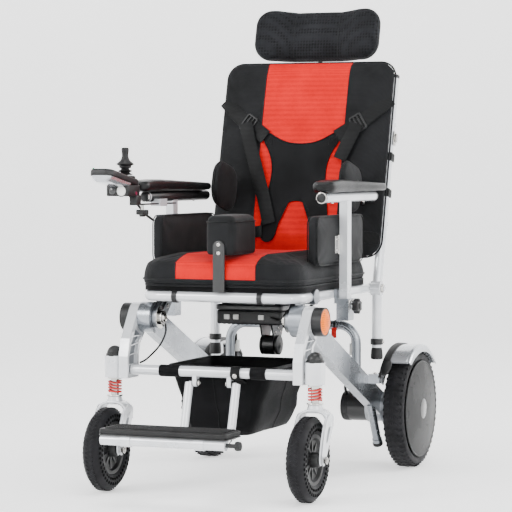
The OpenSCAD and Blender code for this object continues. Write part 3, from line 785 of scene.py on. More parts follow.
@dataclass
class Wheel:
    """One wheel's moulded tyre, with its tread bars and side pockets."""

    body: str
    side: float
    x: float
    y: float
    z: float

    def frame(self) -> Matrix:
        """The wheel's own frame: Z out along the axle, away from the chair."""
        return placed(self.side * self.x, self.y, self.z) @ turn(90.0 * self.side, "Y")

    def carcass(self, radius: float, width: float, bore: float, depth: float) -> Shape:
        """The tyre without its tread.

        Args:
            radius: Outer radius under the tread.
            width: Tyre width.
            bore: Radius of the seat on the rim.
            depth: How far the sidewall bulges past the seat.

        Returns:
            The ring about Z.
        """
        half = width / 2
        outline = [(bore, -half + depth), (bore + 3, -half + depth * 0.55),
            (bore + (radius - bore) * 0.32, -half + 0.8),
                   (bore + (radius - bore) * 0.55, -half), (radius - (radius - bore) * 0.27, -half + 2.2),
                   (radius - 5, -half + 8),
                   (radius - 1.2, -half + 15), (radius, 0), (radius - 1.2, half - 15),
                   (radius - 5, half - 8),
                   (radius - (radius - bore) * 0.27, half - 2.2), (bore + (radius - bore) * 0.55, half),
                   (bore + (radius - bore) * 0.32, half - 0.8), (bore + 3, half - depth * 0.55),
                   (bore, half - depth)]
        return torus_of(list(reversed(outline)), 96)

    def bars(self, radius: float, count: int, length: float, wide: float, tall: float, slant: float,
            shift: float) -> Shape:
        """A row of tread bars round the tyre.

        Args:
            radius: The radius that the bars stand on.
            count: How many bars there are.
            length: The length of a bar.
            wide: Its width.
            tall: Its height.
            slant: Its angle to the axle.
            shift: Its place along the axle.

        Returns:
            The bars.
        """
        bar = slab(rounded_rect(length / 2, wide / 2, 1.0, 2), -tall, tall, 0.8, 1)
        out: list[Shape] = []
        for k in range(count):
            spin = turn(360.0 * k / count, "Z")
            out.append(bar.moved(spin @ Matrix.Translation((radius * MM, 0, shift * MM)) @ turn(90, "Y")
                @ turn(slant, "Z")))
        return joined(out)


@dataclass
class RearWheel(Wheel):
    """A driven rear wheel: solid tyre, disc rim and domed cover."""

    x: float = 277.0
    y: float = 340.0
    z: float = 151.0
    radius: float = 149.4
    width: float = 54.0

    def build(self) -> None:
        """Builds the tyre and the cover's trim over the CAD rim."""
        here, tag = self.frame(), "left" if self.side > 0 else "right"
        tyre = self.carcass(self.radius, self.width, 116.0, 9.0)
        for row, slant in ((-13.5, 32.0), (0.0, 90.0), (13.5, -32.0)):
            count = 54
            lift = 0.9 if row else 0.2
            bar = self.bars(self.radius - lift, count, 13.0 if row else 9.0, 6.2, 1.5, slant, row)
            tyre = tyre + bar
        for row in (-22.0, 22.0):
            tyre = tyre + self.bars(self.radius - 7.0, 54, 7.0, 7.0, 1.3, 0.0, row)
        put(f"rear_tread_{tag}", tyre.moved(here), Finishes.TYRE, self.body, hides=[f"rear_tyre_{tag}"])
        dress(Finishes.COVER_ABS, f"rear_rim_{tag}")
        trim = torus_of([(118.2, 27.5), (121.8, 27.2), (123.2, 28.6), (122.6, 30.4), (120.6, 30.8),
            (118.6, 29.4)], 96)
        put(f"cover_rim_{tag}", trim.moved(here), Finishes.BLACK_ABS, self.body)
        boss = lathe([(0.01, 36.9), (24, 36.6), (25.5, 35.9), (25.6, 34.6), (0.01, 34.6)][::-1], 48)
        put(f"cover_boss_{tag}", boss.moved(here), Finishes.GLOSS_ABS, self.body)


@dataclass
class CasterWheel(Wheel):
    """A front wheel: solid tyre with two rings of pockets on a small hub."""

    x: float = 256.0
    y: float = -340.0
    z: float = 100.0
    radius: float = 98.8
    width: float = 45.0

    def build(self) -> None:
        """Builds the tyre, hub and pockets."""
        here, tag = self.frame(), "left" if self.side > 0 else "right"
        tyre = self.carcass(self.radius, self.width, 58.0, 7.0)
        for row, slant in ((-6.5, 40.0), (6.5, -40.0)):
            tyre = tyre + self.bars(self.radius - 0.5, 60, 9.0, 4.6, 1.2, slant, row)
        put(f"caster_tread_{tag}", tyre.moved(here), Finishes.TYRE, self.body,
            hides=[f"caster_wheel_{tag}"])
        pockets: list[Shape] = []
        cup = lathe([(0.01, 0.5), (3.3, 0.5), (3.9, 0.1), (4.0, -1.8), (0.01, -1.8)][::-1], 14)
        for face in (1.0, -1.0):
            for ring, count, stretch in ((81.0, 44, 0.98), (70.0, 38, 0.86)):
                lift = self.width / 2 - (0.15 if ring > 75 else 0.6)
                for k in range(count):
                    pockets.append(cup.moved(turn(360.0 * k / count, "Z")
                        @ Matrix.Translation((ring * MM, 0, face * lift * MM))
                                             @ turn(0 if face > 0 else 180, "X")
                                             @ Matrix.Diagonal((stretch, 1, 1, 1))))
        put(f"caster_pockets_{tag}", joined(pockets).moved(here), Finishes.POCKET, self.body)
        hub = lathe([(6.2, -28), (15, -28), (17, -25), (18, -10), (30, -7), (47, -10), (51, -17),
            (59, -17.5), (59, 17.5), (51, 17),
                     (47, 10), (30, 7), (18, 10), (17, 25), (15, 28), (6.2, 28)], 48)
        put(f"caster_hub_{tag}", hub.moved(here), Finishes.BLACK_ABS, self.body)
        ribs = joined([slab(rounded_rect(14, 2.2, 1.2, 2), -11, 11, 1.0,
            1).moved(turn(36.0 * k, "Z") @ Matrix.Translation((0.032, 0, 0)))
                       for k in range(10)])
        put(f"caster_ribs_{tag}", ribs.moved(here), Finishes.BLACK_POWDER, self.body)


# ---- frames --------------------------------------------------------------


@dataclass
class RearFrame:
    """Beams, hoop, motors, gearboxes, fenders and lower struts."""

    body: str = "rear_frame"

    def build(self) -> None:
        """Dresses the CAD nodes and adds bolts, plugs, trims and cables."""
        dress(Finishes.SILVER_POWDER, "main_beams", "hoop_brace", "lower_struts")
        dress(Finishes.PLATED_STEEL, "hub_pivots")
        dress(Finishes.BLACK_POWDER, "drive_motors")
        dress(Finishes.CAST_ALUMINIUM, "gearboxes")
        dress(Finishes.SILVER_ABS, "fenders")
        for side, tag in ((LEFT, "left"), (RIGHT, "right")):
            self.motor_trim(side, tag)
            self.fender_trim(side, tag)
            self.beam_trim(side, tag)

    def motor_trim(self, side: float, tag: str) -> None:
        """The motor's end bell, cooling bands, brake cap and leads.

        Args:
            side: 1 for the sitter's left, -1 for the right.
            tag: The side's name.
        """
        here = placed(0, 340, 151) @ ALONG_X
        bands = [torus_of([(37.3, z), (38.6, z + 0.4), (38.6, z + 3.0), (37.3, z + 3.4)][::-1], 64)
            for z in range(104, 118, 5)]
        bell = lathe([(0.01, 100.2), (28, 100.2), (35.5, 101), (38.2, 103.5), (38.2, 101), (36, 98.4),
            (12, 97.6), (0.01, 97.4)], 48)
        put(f"motor_bands_{tag}", (joined(bands) + bell).moved(here).mirrored(side), Finishes.BLACK_ABS,
            self.body)
        collar = torus_of([(37.2, 166), (40.2, 166.6), (40.2, 183), (37.2, 184)][::-1], 64)
        put(f"motor_flange_{tag}", collar.moved(here).mirrored(side), Finishes.CAST_ALUMINIUM, self.body,
            round_mm=0.8)
        screws = [bolt(4.2, 3.4).moved(placed(243.0, 340 + 33 * math.cos(a), 151 + 33 * math.sin(a))
            @ ALONG_X)
                  for a in (math.radians(30 + 60 * k) for k in range(6))]
        put(f"gearbox_screws_{tag}", joined(screws).mirrored(side), Finishes.PLATED_STEEL, self.body)
        lead = tube([at(112, 318, 184), at(116, 296, 204), at(140, 262, 236), at(158, 236, 262),
            at(161, 229, 300), at(160, 226, 338)], 4.0, 10)
        put(f"motor_lead_{tag}", lead.mirrored(side), Finishes.CABLE_PVC, self.body)
        plug = block(at(152, 224, 292), at(168, 236, 322), 2.0)
        put(f"motor_plug_{tag}", plug.mirrored(side), Finishes.WHITE_NYLON, self.body)

    def fender_trim(self, side: float, tag: str) -> None:
        """The fender's rolled edge, outer flank, rubber strip and bracket bolts.

        Args:
            side: 1 for the sitter's left, -1 for the right.
            tag: The side's name.
        """
        here = placed(0, 340, 151) @ turn(0, "Z")

        def arc(radius: float, x: float, start: float, end: float, steps: int = 40) -> list[Vector]:
            """Points along an arc over the wheel.

            Args:
                radius: The arc radius.
                x: Its distance from the mid-plane.
                start: The first angle, in degrees.
                end: The last angle.
                steps: How many steps it takes.

            Returns:
                The points.
            """
            angles = [math.radians(start + (end - start) * k / steps) for k in range(steps + 1)]
            return [here @ Vector((x * MM, radius * math.cos(a) * MM, radius * math.sin(a) * MM))
                for a in angles]

        shell: list[list[Vector]] = []
        for k in range(41):
            a = math.radians(43 + 86 * k / 40)
            fade = math.sin(math.pi * k / 40) ** 0.5
            prof = [(299, 160.6), (303.5, 160.0 - 2 * fade), (307.5, 157.5 - 5 * fade),
                (309.0, 153.0 - 7 * fade),
                    (311.0, 153.0 - 7 * fade), (310.0, 160.5 - 4 * fade), (305.5, 164.5), (299, 165.6)]
            shell.append([here @ Vector((x * MM, r * math.cos(a) * MM, r * math.sin(a) * MM)) for x,
                r in prof])
        put(f"fender_flank_{tag}", loft(shell).mirrored(side), Finishes.SILVER_ABS, self.body, sharp=50)
        strip = sweep(arc(165.4, 249, 50, 129), rounded_rect(9, 1.6, 1.4, 3), Vector((0, 0, 1)))
        put(f"fender_strip_{tag}", strip.mirrored(side), Finishes.RUBBER, self.body)
        lip = sweep(arc(162, 240.0, 43, 147), rounded_rect(2.8, 3.2, 1.4, 3), Vector((0, 0, 1)))
        put(f"fender_lip_{tag}", lip.mirrored(side), Finishes.BLACK_ABS, self.body)
        lobe: list[list[Vector]] = []
        for k in range(17):
            a = math.radians(128 + 16 * k / 16)
            half, rise = 13 * math.sin(math.pi * (0.12 + 0.82 * k / 16)) ** 0.5, 163.0
            lobe.append([here @ Vector(((252 + x) * MM, (rise + y) * math.cos(a) * MM,
                (rise + y) * math.sin(a) * MM))
                         for x, y in rounded_rect(half, 3.0, 2.4, 3)])
        put(f"fender_lobe_{tag}", loft(lobe).mirrored(side), Finishes.BLACK_ABS, self.body)
        screws = [bolt(4.5, 3.2).moved(placed(236 - 12 * k, 217, 248)) for k in (0, 1)]
        put(f"fender_bolts_{tag}", joined(screws).mirrored(side), Finishes.PLATED_STEEL, self.body)

    def beam_trim(self, side: float, tag: str) -> None:
        """Hub washers, the beam's end plugs, strut plugs and the hoop's bolts.

        Args:
            side: 1 for the sitter's left, -1 for the right.
            tag: The side's name.
        """
        hub = placed(0, -232, 409) @ ALONG_X
        washer = lathe([(13.2, 163.1), (27, 163.3), (27.6, 164.6), (13.2, 164.8)], 48)
        put(f"hub_washer_{tag}", washer.moved(hub).mirrored(side), Finishes.PLATED_STEEL, self.body)
        cap = bolt(12, 6, 0.4).moved(placed(156.2, -232, 409) @ turn(-90, "Y"))
        put(f"hub_bolt_{tag}", cap.mirrored(side), Finishes.PLATED_STEEL, self.body)
        plug = lathe([(0.01, -1), (11.2, -1), (13.4, 1.5), (13.4, 8), (12.6, 9.8), (0.01, 10.2)], 32)
        put(f"strut_plug_{tag}", plug.moved(placed(202, 301, 66) @ turn(180 + 27, "X")).mirrored(side),
            Finishes.BLACK_ABS, self.body)
        bolts = [bolt(6.5, 5).moved(placed(169, 220, z) @ turn(-90, "Y")) for z in (200, 216)]
        put(f"hoop_bolts_{tag}", joined(bolts).mirrored(side), Finishes.PLATED_STEEL, self.body)
        if side > 0:
            tie = torus_of([(11.9, -2.2), (13.6, -2.2), (13.6, 2.2), (11.9, 2.2)][::-1], 32)
            put("hoop_tie", tie.moved(placed(118, 220, 368) @ ALONG_X), Finishes.BLACK_ABS, self.body)
            tag_strap = webbing([at(118, 207, 362), at(118, 204, 350), at(119, 203, 336)], 14,
                Vector((0, -1, 0)), 1.2)
            put("hoop_tag", tag_strap, Finishes.RED_TAG, self.body)


@dataclass
class FrontFrame:
    """Front arms, caster housings, cross tube, reflectors and casters."""

    body: str = "front_frame"

    def build(self) -> None:
        """Dresses the CAD nodes and adds webs, bolts, casters and springs."""
        dress(Finishes.WHITE_POWDER, "front_arms", "caster_housings", "front_cross_tube")
        dress(Finishes.BLACK_ABS, "housing_caps", "reflector_cups")
        dress(Finishes.ORANGE_LENS, "reflector_lenses")
        for side, tag in ((LEFT, "left"), (RIGHT, "right")):
            self.arm_web(side, tag)
            self.caster(side, tag)
        self.tube_trim()

    def arm_web(self, side: float, tag: str) -> None:
        """The web of the front arm, painted greyer as shade, with its cast ribs.

        Args:
            side: 1 for the sitter's left, -1 for the right.
            tag: The side's name.
        """
        web = [(-270, 388), (-297, 349), (-308, 316), (-308, 281), (-271, 281), (-269, 322), (-259, 354),
            (-238, 368)]
        plate = slab([(y, z) for y, z in web], 0, 0.5, 0.2, 1)
        face = Matrix(((0, 0, 1, 0), (1, 0, 0, FRAME_Y), (0, 1, 0, 0), (0, 0, 0, 1)))
        # Thin grey plates on both faces of the web: painted shade in the recess of the casting.
        for name, x in (("out", 226.0), ("in", 218.0)):
            skin = plate.moved(Matrix.Translation((x * MM, 0, 0)) @ face)
            put(f"arm_web_{name}_{tag}", skin.mirrored(side), Finishes.GREY_POWDER, self.body)
        ribs: list[Shape] = []
        for y0, z0, y1, z1 in ((-310, 300, -268, 300), (-308, 322, -268, 326),
                (-301, 345, -259, 348), (-288, 366, -243, 366)):
            for x0, x1 in ((226, 233), (211.2, 218)):
                mid = at((x0 + x1) / 2, (y0 + y1) / 2, (z0 + z1) / 2)
                size = math.hypot(y1 - y0, z1 - z0)
                bar = slab(rounded_rect((x1 - x0) / 2, size / 2, 0.8, 1), -1.4, 1.4, 0.5, 1)
                ribs.append(bar.moved(Matrix.Translation(mid)
                    @ turn(math.degrees(math.atan2(z1 - z0, y1 - y0)), "X")))
        put(f"arm_ribs_{tag}", joined(ribs).mirrored(side), Finishes.WHITE_POWDER, self.body)
        nut = bolt(15, 3.0, 0.3).moved(placed(234, -294, 288) @ ALONG_X)
        put(f"arm_bolt_{tag}", nut.mirrored(side), Finishes.PLATED_STEEL, self.body)

    def caster(self, side: float, tag: str) -> None:
        """The caster's stem, coil, fork, bolts and wheel.

        Args:
            side: 1 for the sitter's left, -1 for the right.
            tag: The side's name.
        """
        turning, sliding, rolling = f"caster_{tag}", f"fork_{tag}", f"front_wheel_{tag}"
        dress(Finishes.PLATED_STEEL, f"caster_stem_{tag}")
        self.fork(side, tag, sliding)
        turns, low, high = 4.6, 227.0, 264.0
        steps = 190
        coil: list[Vector] = []
        for k in range(steps + 1):
            t = k / steps
            flat = min(1.0, t / 0.1, (1 - t) / 0.1)
            pitch = (t - 0.5) * (0.82 + 0.18 * flat) + 0.5
            a = 2 * math.pi * turns * t
            coil.append(at(256 + 15.2 * math.cos(a), -295 + 15.2 * math.sin(a),
                low + 2.3 + (high - low - 4.6) * pitch))
        spring = put(f"coil_{tag}", sweep(coil, circle(2.25, 10)).mirrored(side), Finishes.RED_ENAMEL,
            turning, hides=[f"caster_spring_{tag}"])
        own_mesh(spring)
        seat = lathe([(10.4, 226.2), (19, 226.2), (19.6, 225), (19.6, 223.6), (18.6, 222.6),
            (10.4, 222.6)][::-1], 40)
        put(f"spring_seat_{tag}", seat.moved(placed(256, -295, 0)).mirrored(side), Finishes.PLATED_STEEL,
            sliding)
        heads: list[Shape] = []
        for s in (1, -1):
            heads.append(hex_nut(16, 6).moved(placed(256 + s * 41, -340, 100) @ turn(90 * s, "Y")))
        put(f"axle_nuts_{tag}", joined(heads).mirrored(side), Finishes.PLATED_STEEL, sliding)
        collar = torus_of([(19, 0), (21.4, 0.6), (21.4, 5.4), (19, 6)][::-1], 40)
        put(f"housing_ring_{tag}", collar.moved(placed(256, -295, 318.5)).mirrored(side),
            Finishes.BLACK_ABS, self.body)
        CasterWheel(rolling, side).build()

    def fork(self, side: float, tag: str, body: str) -> None:
        """The cast fork: an arched crown with two slotted legs, the slot recesses painted grey as shade.

        Args:
            side: 1 for the sitter's left, -1 for the right.
            tag: The side's name.
            body: The body that it moves with.
        """
        arch = [at(256 + x, -295, z) for x,
            z in ((-35.5, 168), (-35.5, 184), (-31, 198), (-20, 206.5), (0, 209.5), (20, 206.5),
                                                 (31, 198), (35.5, 184), (35.5, 168))]
        path = smooth_path(arch, 5)
        shape = sweep(path, rounded_rect(19.5, 3.6, 2.6, 3), Vector((0, 0, 1)))
        boss = lathe([(10.3, 204), (19, 204), (20, 206), (18.6, 213), (16.2, 221), (15, 225.6),
            (10.3, 226)][::-1], 40).moved(placed(256, -295, 0))
        leg = softened([(-317, 190), (-306, 200), (-284, 200), (-275, 190), (-281, 172), (-326, 106),
            (-331, 94), (-340, 88), (-349.5, 93),
                        (-352, 104), (-347, 128), (-330, 172)], 2)
        slot = softened([(-308, 178), (-298, 176), (-300, 166), (-318, 138), (-325, 138), (-322, 152)], 2)
        face = Matrix(((0, 0, 1, 0), (1, 0, 0, FRAME_Y), (0, 1, 0, 0), (0, 0, 0, 1)))
        legs = Shape([], [])
        # Thin grey sheets on the legs' faces mark the slot recesses: painted shade.
        slot_shade_sheets = Shape([], [])
        for x in (256 - 39, 256 + 32):
            legs = legs + slab(leg, 0, 7, 2.4, 3).moved(Matrix.Translation((x * MM, 0, 0)) @ face)
            for off in (-0.25, 6.65):
                slot_shade_sheets = slot_shade_sheets + slab(slot, 0, 0.6, 0.2,
                    1).moved(Matrix.Translation(((x + off) * MM, 0, 0)) @ face)
        put(f"fork_{tag}_casting", (shape + boss + legs).mirrored(side), Finishes.WHITE_POWDER, body,
            hides=[f"caster_fork_{tag}"])
        put(f"fork_{tag}_pockets", slot_shade_sheets.mirrored(side), Finishes.GREY_POWDER, body)
        axle = lathe([(0.01, -41), (5.9, -41), (5.9, 41), (0.01, 41)],
            24).moved(placed(256, -340, 100) @ ALONG_X)
        put(f"fork_{tag}_axle", axle.mirrored(side), Finishes.PLATED_STEEL, body)

    def tube_trim(self) -> None:
        """The ear bolts with their round washers, and a thin cable lead."""
        lead = tube([at(-158, -222, 404), at(-163, -206, 372), at(-172, -222, 340), at(-186, -262, 312),
            at(-196, -281, 303)], 2.4, 8)
        put("tube_lead", lead, Finishes.CABLE_PVC, self.body)
        parts: list[Shape] = []
        caps: list[Shape] = []
        for s in (-1, 1):
            for out in (-1, 1):
                spot = placed(s * 44 + out * 5.2, -297, 262) @ turn(90 * out, "Y")
                caps.append(lathe([(4.2, 0), (8.6, 0), (8.6, 1.6), (4.2, 1.8)][::-1], 28).moved(spot))
            parts.append(bolt(6.5, 4.5).moved(placed(s * 44 - s * 6.8, -297, 262) @ turn(-90 * s, "Y")))
        put("ear_washers", joined(caps), Finishes.BLACK_ABS, self.body)
        put("ear_bolts", joined(parts), Finishes.PLATED_STEEL, self.body)


# ---- footrest ------------------------------------------------------------


@dataclass
class Footrest:
    """The swinging footrest frame, its flip-up pad and pull knob."""

    def build(self) -> None:
        """Dresses the frame and builds the pad's two strips, knob and caps."""
        dress(Finishes.WHITE_POWDER, "footrest_frame")
        dress(Finishes.BLACK_ABS, "footplate_plunger")
        base = slab(rounded_rect(156, 46.5, 9, 6), 168.2, 181, 3.2, 3).moved(placed(0, -542.5, 0))
        ribs = [slab(rounded_rect(144, 1.6, 1.4, 2), 180.4, 183.4, 0.9,
            1).moved(placed(0, -578 + 10.4 * k, 0)) for k in range(8)]
        put("foot_pad", base, Finishes.RUBBER, "footplate", hides=["footplate_pad"])
        put("foot_pad_ribs", joined(ribs), Finishes.RUBBER, "footplate")
        tray = slab(rounded_rect(157, 47.5, 10, 6), 165.6, 168.6, 0.9, 1).moved(placed(0, -542.5, 0))
        put("foot_tray", tray, Finishes.BLACK_POWDER, "footplate", round_mm=0.4)
        clamps: list[Shape] = []
        for x in (-90, 90):
            clamps.append(torus_of([(12.1, -12), (14, -12), (14, 12), (12.1, 12)][::-1],
                40).moved(placed(x, -578, 155) @ ALONG_X))
            clamps.append(block(at(x - 12, -578, 163), at(x + 12, -544, 167.4), 1.2))
        put("foot_clamps", joined(clamps), Finishes.WHITE_POWDER, "footplate")
        screws = [bolt(4.2, 3).moved(placed(x, -552, 163.2) @ turn(180, "X")) for x in (-90, 90)]
        put("foot_screws", joined(screws), Finishes.PLATED_STEEL, "footplate")
        knob = lathe([(0.01, 174.5), (6, 174.5), (7.5, 176), (10.6, 177.5), (11, 181), (10.4, 186),
            (8.5, 188), (0.01, 188.4)], 32)
        put("pull_knob", knob.moved(placed(0, -578, 155) @ ALONG_X), Finishes.BLACK_ABS, "plunger")


# ---- soft goods ----------------------------------------------------------


def inflate(piece: bpy.types.Object, axis: Vector, voxel_mm: float = 6.0, pressure: float = 4.0,
        cap_mm: float = 10.0, firm: bool = False) -> None:
    """Swells a pad as cloth under pressure, so that it takes the small puckers of a stuffed cover.

    Args:
        piece: The pad; its mesh is replaced by the swollen one.
        axis: The way through the pad; the walls along it are held, as a sewn border holds them.
        voxel_mm: The size of the cloth's mesh.
        pressure: The air pressure inside.
        cap_mm: The furthest that a point may move.
        firm: Whether the face that looks along the axis is held too, as on a board.
    """
    scene = bpy.context.scene
    bpy.context.view_layer.objects.active = piece
    for other in bpy.context.selected_objects:
        other.select_set(False)
    piece.select_set(True)
    grid = piece.modifiers.new("grid", "REMESH")
    grid.mode = "VOXEL"
    grid.voxel_size = voxel_mm * MM
    bpy.ops.object.modifier_apply(modifier=grid.name)
    rest = [v.co.copy() for v in piece.data.vertices]
    cloth = piece.modifiers.new("cloth", "CLOTH")
    cloth.settings.use_pressure = True
    cloth.settings.uniform_pressure_force = pressure
    cloth.settings.quality = 6
    cloth.settings.mass = 0.3
    cloth.settings.tension_stiffness = cloth.settings.compression_stiffness = 18
    cloth.settings.shear_stiffness = 8
    cloth.settings.bending_stiffness = 0.6
    cloth.settings.effector_weights.gravity = 0.0
    through = axis.normalized()
    held = piece.vertex_groups.new(name="held")
    top = 1.1 if firm else 0.55
    held.add([v.index for v in piece.data.vertices if -0.55 < v.normal.dot(through) < top], 1.0, "REPLACE")
    cloth.settings.vertex_group_mass = "held"
    for frame_number in range(1, 21):
        scene.frame_set(frame_number)
    bpy.ops.object.modifier_apply(modifier=cloth.name)
    scene.frame_set(1)
    for vertex, start in zip(piece.data.vertices, rest):
        moved = vertex.co - start
        if moved.length > cap_mm * MM:
            vertex.co = start + moved.normalized() * (cap_mm * MM)
    smooth = piece.modifiers.new("smooth", "SUBSURF")
    smooth.levels = smooth.render_levels = 1
    bpy.ops.object.modifier_apply(modifier=smooth.name)
    piece.data.polygons.foreach_set("use_smooth", [True] * len(piece.data.polygons))


def laid_on(piece: bpy.types.Object, points: Sequence[Vector], towards: Vector,
        lift_mm: float) -> list[Vector]:
    """Points dropped onto a piece's skin.

    Args:
        piece: The piece that they lie on.
        points: The points, in the row frame.
        towards: The direction that they drop in.
        lift_mm: How far above the skin they end.

    Returns:
        The points on the skin; a point that meets nothing stays where it was.
    """
    graph = bpy.context.evaluated_depsgraph_get()
    tree = BVHTree.FromObject(piece, graph)
    out: list[Vector] = []
    way = towards.normalized()
    for p in points:
        hit = tree.ray_cast(p - way * 0.25, way)
        out.append(hit[0] - way * lift_mm * MM if hit[0] is not None else p)
    return out


@dataclass
class Seat:
    """The seat ring, pan, cushion, brackets, sockets, control box and folding drive."""

    body: str = "seat"
    cushion_half: float = 205.0

    def build(self) -> None:
        """Builds the cushion first, then what bolts to the ring."""
        dress(Finishes.WHITE_POWDER, "seat_frame")
        dress(Finishes.CAST_ALUMINIUM, "seat_brackets")
        dress(Finishes.NYLON, "seat_pan")
        dress(Finishes.SILVER_POWDER, "post_sockets")
        dress(Finishes.SHRINK_FILM, "battery_pack")
        dress(Finishes.BLACK_POWDER, "fold_actuator")
        self.cushion()
        self.control_box()
        self.hardware()
        self.cables()

    def cushion(self) -> None:
        """The seat cushion: a base with a piped border and a crowned top with side bolsters."""
        def fitted(half: float, front: float, rear: float, z: float, radius: float) -> list[Vector]:
            """A rounded loop of 96 even points at one height.

            Args:
                half: Half of the width.
                front: The front edge.
                rear: The rear edge.
                z: The height.
                radius: The corner radius.

            Returns:
                The loop.
            """
            mid, size = (front + rear) / 2, (rear - front) / 2
            outline = rounded_rect(half, size, radius, 12)
            lengths = [0.0]
            loop = outline + outline[:1]
            for a, b in zip(loop, loop[1:]):
                lengths.append(lengths[-1] + math.hypot(b[0] - a[0], b[1] - a[1]))
            out: list[Vector] = []
            j = 0
            for k in range(96):
                want = lengths[-1] * k / 96
                while lengths[j + 1] < want:
                    j += 1
                t = (want - lengths[j]) / max(1e-9, lengths[j + 1] - lengths[j])
                out.append(at(loop[j][0] + (loop[j + 1][0] - loop[j][0]) * t,
                    loop[j][1] + (loop[j + 1][1] - loop[j][1]) * t + mid, z))
            return out

        rings = [fitted(198, -275, 222, 488.4, 54), fitted(206, -282, 229, 491, 60),
            fitted(208, -284, 231, 500, 62),
                 fitted(207, -284, 230, 512, 62), fitted(204, -284, 226, 526, 62),
                 fitted(199, -282, 218, 540, 62),
                 fitted(191, -277, 209, 550, 60), fitted(178, -266, 199, 556.5, 58),
                 fitted(160, -248, 182, 560, 54),
                 fitted(128, -214, 150, 561.5, 46), fitted(80, -160, 100, 561.8, 36),
                 fitted(30, -90, 40, 561.9, 20)]
        shape = loft(rings)

        def dish(p: Vector) -> Vector:
            """Sinks the middle of the seat between its bolsters.

            Args:
                p: A point of the cushion.

            Returns:
                The point after the sinking.
            """
            y = (p.y - FRAME_Y) / MM
            top = max(0.0, min(1.0, (p.z / MM - 530) / 28))
            bolster = -5.5 * top * max(0.0,
                1 - (p.x / MM / 150) ** 2) * (1.0 if y > -230 else max(0.0, (y + 284) / 54))
            return Vector((p.x, p.y, p.z + bolster * MM))

        cushion = put("seat_pad", shape.bent(dish), Finishes.SEAT_CLOTH, self.body, hides=["seat_cushion"],
            subdivide=1)
        cushion.modifiers.clear()
        inflate(cushion, Vector((0, 0, 1)), 6.0, 3.0, 5.0)
        for side, tag in ((LEFT, "left"), (RIGHT, "right")):
            top = laid_on(cushion, [at(side * 103, y, 560) for y in range(-268, 206, 12)],
                Vector((0, 0, -1)), -0.4)
            front = laid_on(cushion, [at(side * 103, -284, z) for z in range(504, 546, 6)],
                Vector((0, 1, 0)), -0.4)
            put(f"seat_seam_{tag}", tube(front + top, 1.5, 8), Finishes.BLACK_KNIT, self.body)
        for z, size in ((503.5, 2.2), (489.6, 1.9)):
            loop = fitted(208.2 if z > 500 else 205, -284.6 if z > 500 else -281, 231, z, 62)
            put(f"seat_piping_{int(z)}", sweep(loop, circle(size, 8), closed=True), Finishes.BLACK_KNIT,
                self.body)

    def control_box(self) -> None:
        """The electronics box: a ribbed tray with a lid, its hangers, fan disc and sockets."""
        tray = slab(rounded_rect(86, 82, 9, 5), 386, 420, 4, 3).moved(placed(0, 4, 0))
        lid = slab(rounded_rect(87.5, 83.5, 10, 5), 420.6, 433.8, 3, 3).moved(placed(0, 4, 0))
        fins = joined([slab(rounded_rect(1.6, 66, 1, 1), 383.8, 388, 0.8, 1).moved(placed(x, 4, 0))
            for x in range(-72, 73, 12)])
        put("box_tray", tray + fins, Finishes.BLACK_ABS, self.body, hides=["control_box"])
        put("box_lid", lid, Finishes.BLACK_POWDER, self.body)
        hangers = joined([block(at(s * 70 - 8, -60, 433.5), at(s * 70 + 8, 66, 475.8), 1.5)
            for s in (-1, 1)])
        put("box_hangers", hangers, Finishes.BLACK_POWDER, self.body)
        sockets = joined([block(at(x - 7, -82.5, 398), at(x + 7, -77, 410), 1.2) for x in (-56, -32, 34)])
        put("box_sockets", sockets, Finishes.WHITE_NYLON, self.body)
        disc = lathe([(0.01, 0), (22, 0), (24, 1.4), (24, 5), (21, 6.4), (8, 6.8), (6, 8.4), (0.01, 8.8)],
            48)
        put("drive_disc", disc.moved(placed(56.2, -26, 334) @ ALONG_X)
            + disc.moved(placed(21.8, -26, 334) @ turn(-90, "Y")),
            Finishes.BLACK_ABS, self.body)
        rivets = joined([bolt(3.2, 1.8).moved(placed(56.2, y, z) @ ALONG_X) for y,
            z in ((-40, 366), (-6, 366), (-24, 352), (-22, 376))])
        put("drive_rivets", rivets, Finishes.PLATED_STEEL, self.body)

    def hardware(self) -> None:
        """Clips, bolts, the guide bar and the socket screws."""
        clips = joined([torus_of([(12.6, -6), (15.4, -6), (15.4, 6), (12.6, 6)][::-1],
            36).moved(placed(x, -266, 463) @ ALONG_X)
                        for x in (-109, 109)])
        put("front_clips", clips, Finishes.BLACK_ABS, self.body)
        for side, tag in ((LEFT, "left"), (RIGHT, "right")):
            link = slab(softened([(-5, -22), (5, -22), (6, 20), (-6, 20)], 2), 0, 4, 0.8, 1)
            put(f"bracket_link_{tag}", link.moved(placed(160.6, -205, 437) @ turn(90, "Y")
                @ turn(35, "Z")).mirrored(side),
                Finishes.CAST_ALUMINIUM, self.body)
            heads = joined([bolt(7, 5).moved(placed(164.8, y, z) @ turn(-90, "Y")) for y,
                z in ((-167, 463), (-198, 436))])
            put(f"bracket_bolts_{tag}", heads.mirrored(side), Finishes.PLATED_STEEL, self.body)
            screws = joined([bolt(4.5, 3.2).moved(placed(245, -20 + dy, 446) @ ALONG_X)
                for dy in (-12, 12)])
            put(f"socket_screws_{tag}", screws.mirrored(side), Finishes.PLATED_STEEL, self.body)
            knob_body = f"knob_{tag}"
            star: list[Point2] = []
            for k in range(36):
                a = 2 * math.pi * k / 36
                r = 16.2 + 2.6 * math.cos(6 * a)
                star.append((r * math.cos(a), r * math.sin(a)))
            knob = slab(star, 0, 16, 3.0, 3) + lathe([(0.01, 15.5), (8, 15.5), (7.4, 18), (0.01, 18.6)], 24)
            put(f"star_knob_{tag}", knob.moved(placed(252, -20, 434) @ ALONG_X).mirrored(side),
                Finishes.BLACK_ABS, knob_body,
                hides=[f"post_knob_{tag}"])
            neck = lathe([(0.01, 245.3), (7.5, 245.3), (8, 246.5), (8.6, 252.5), (0.01, 252.6)], 24)
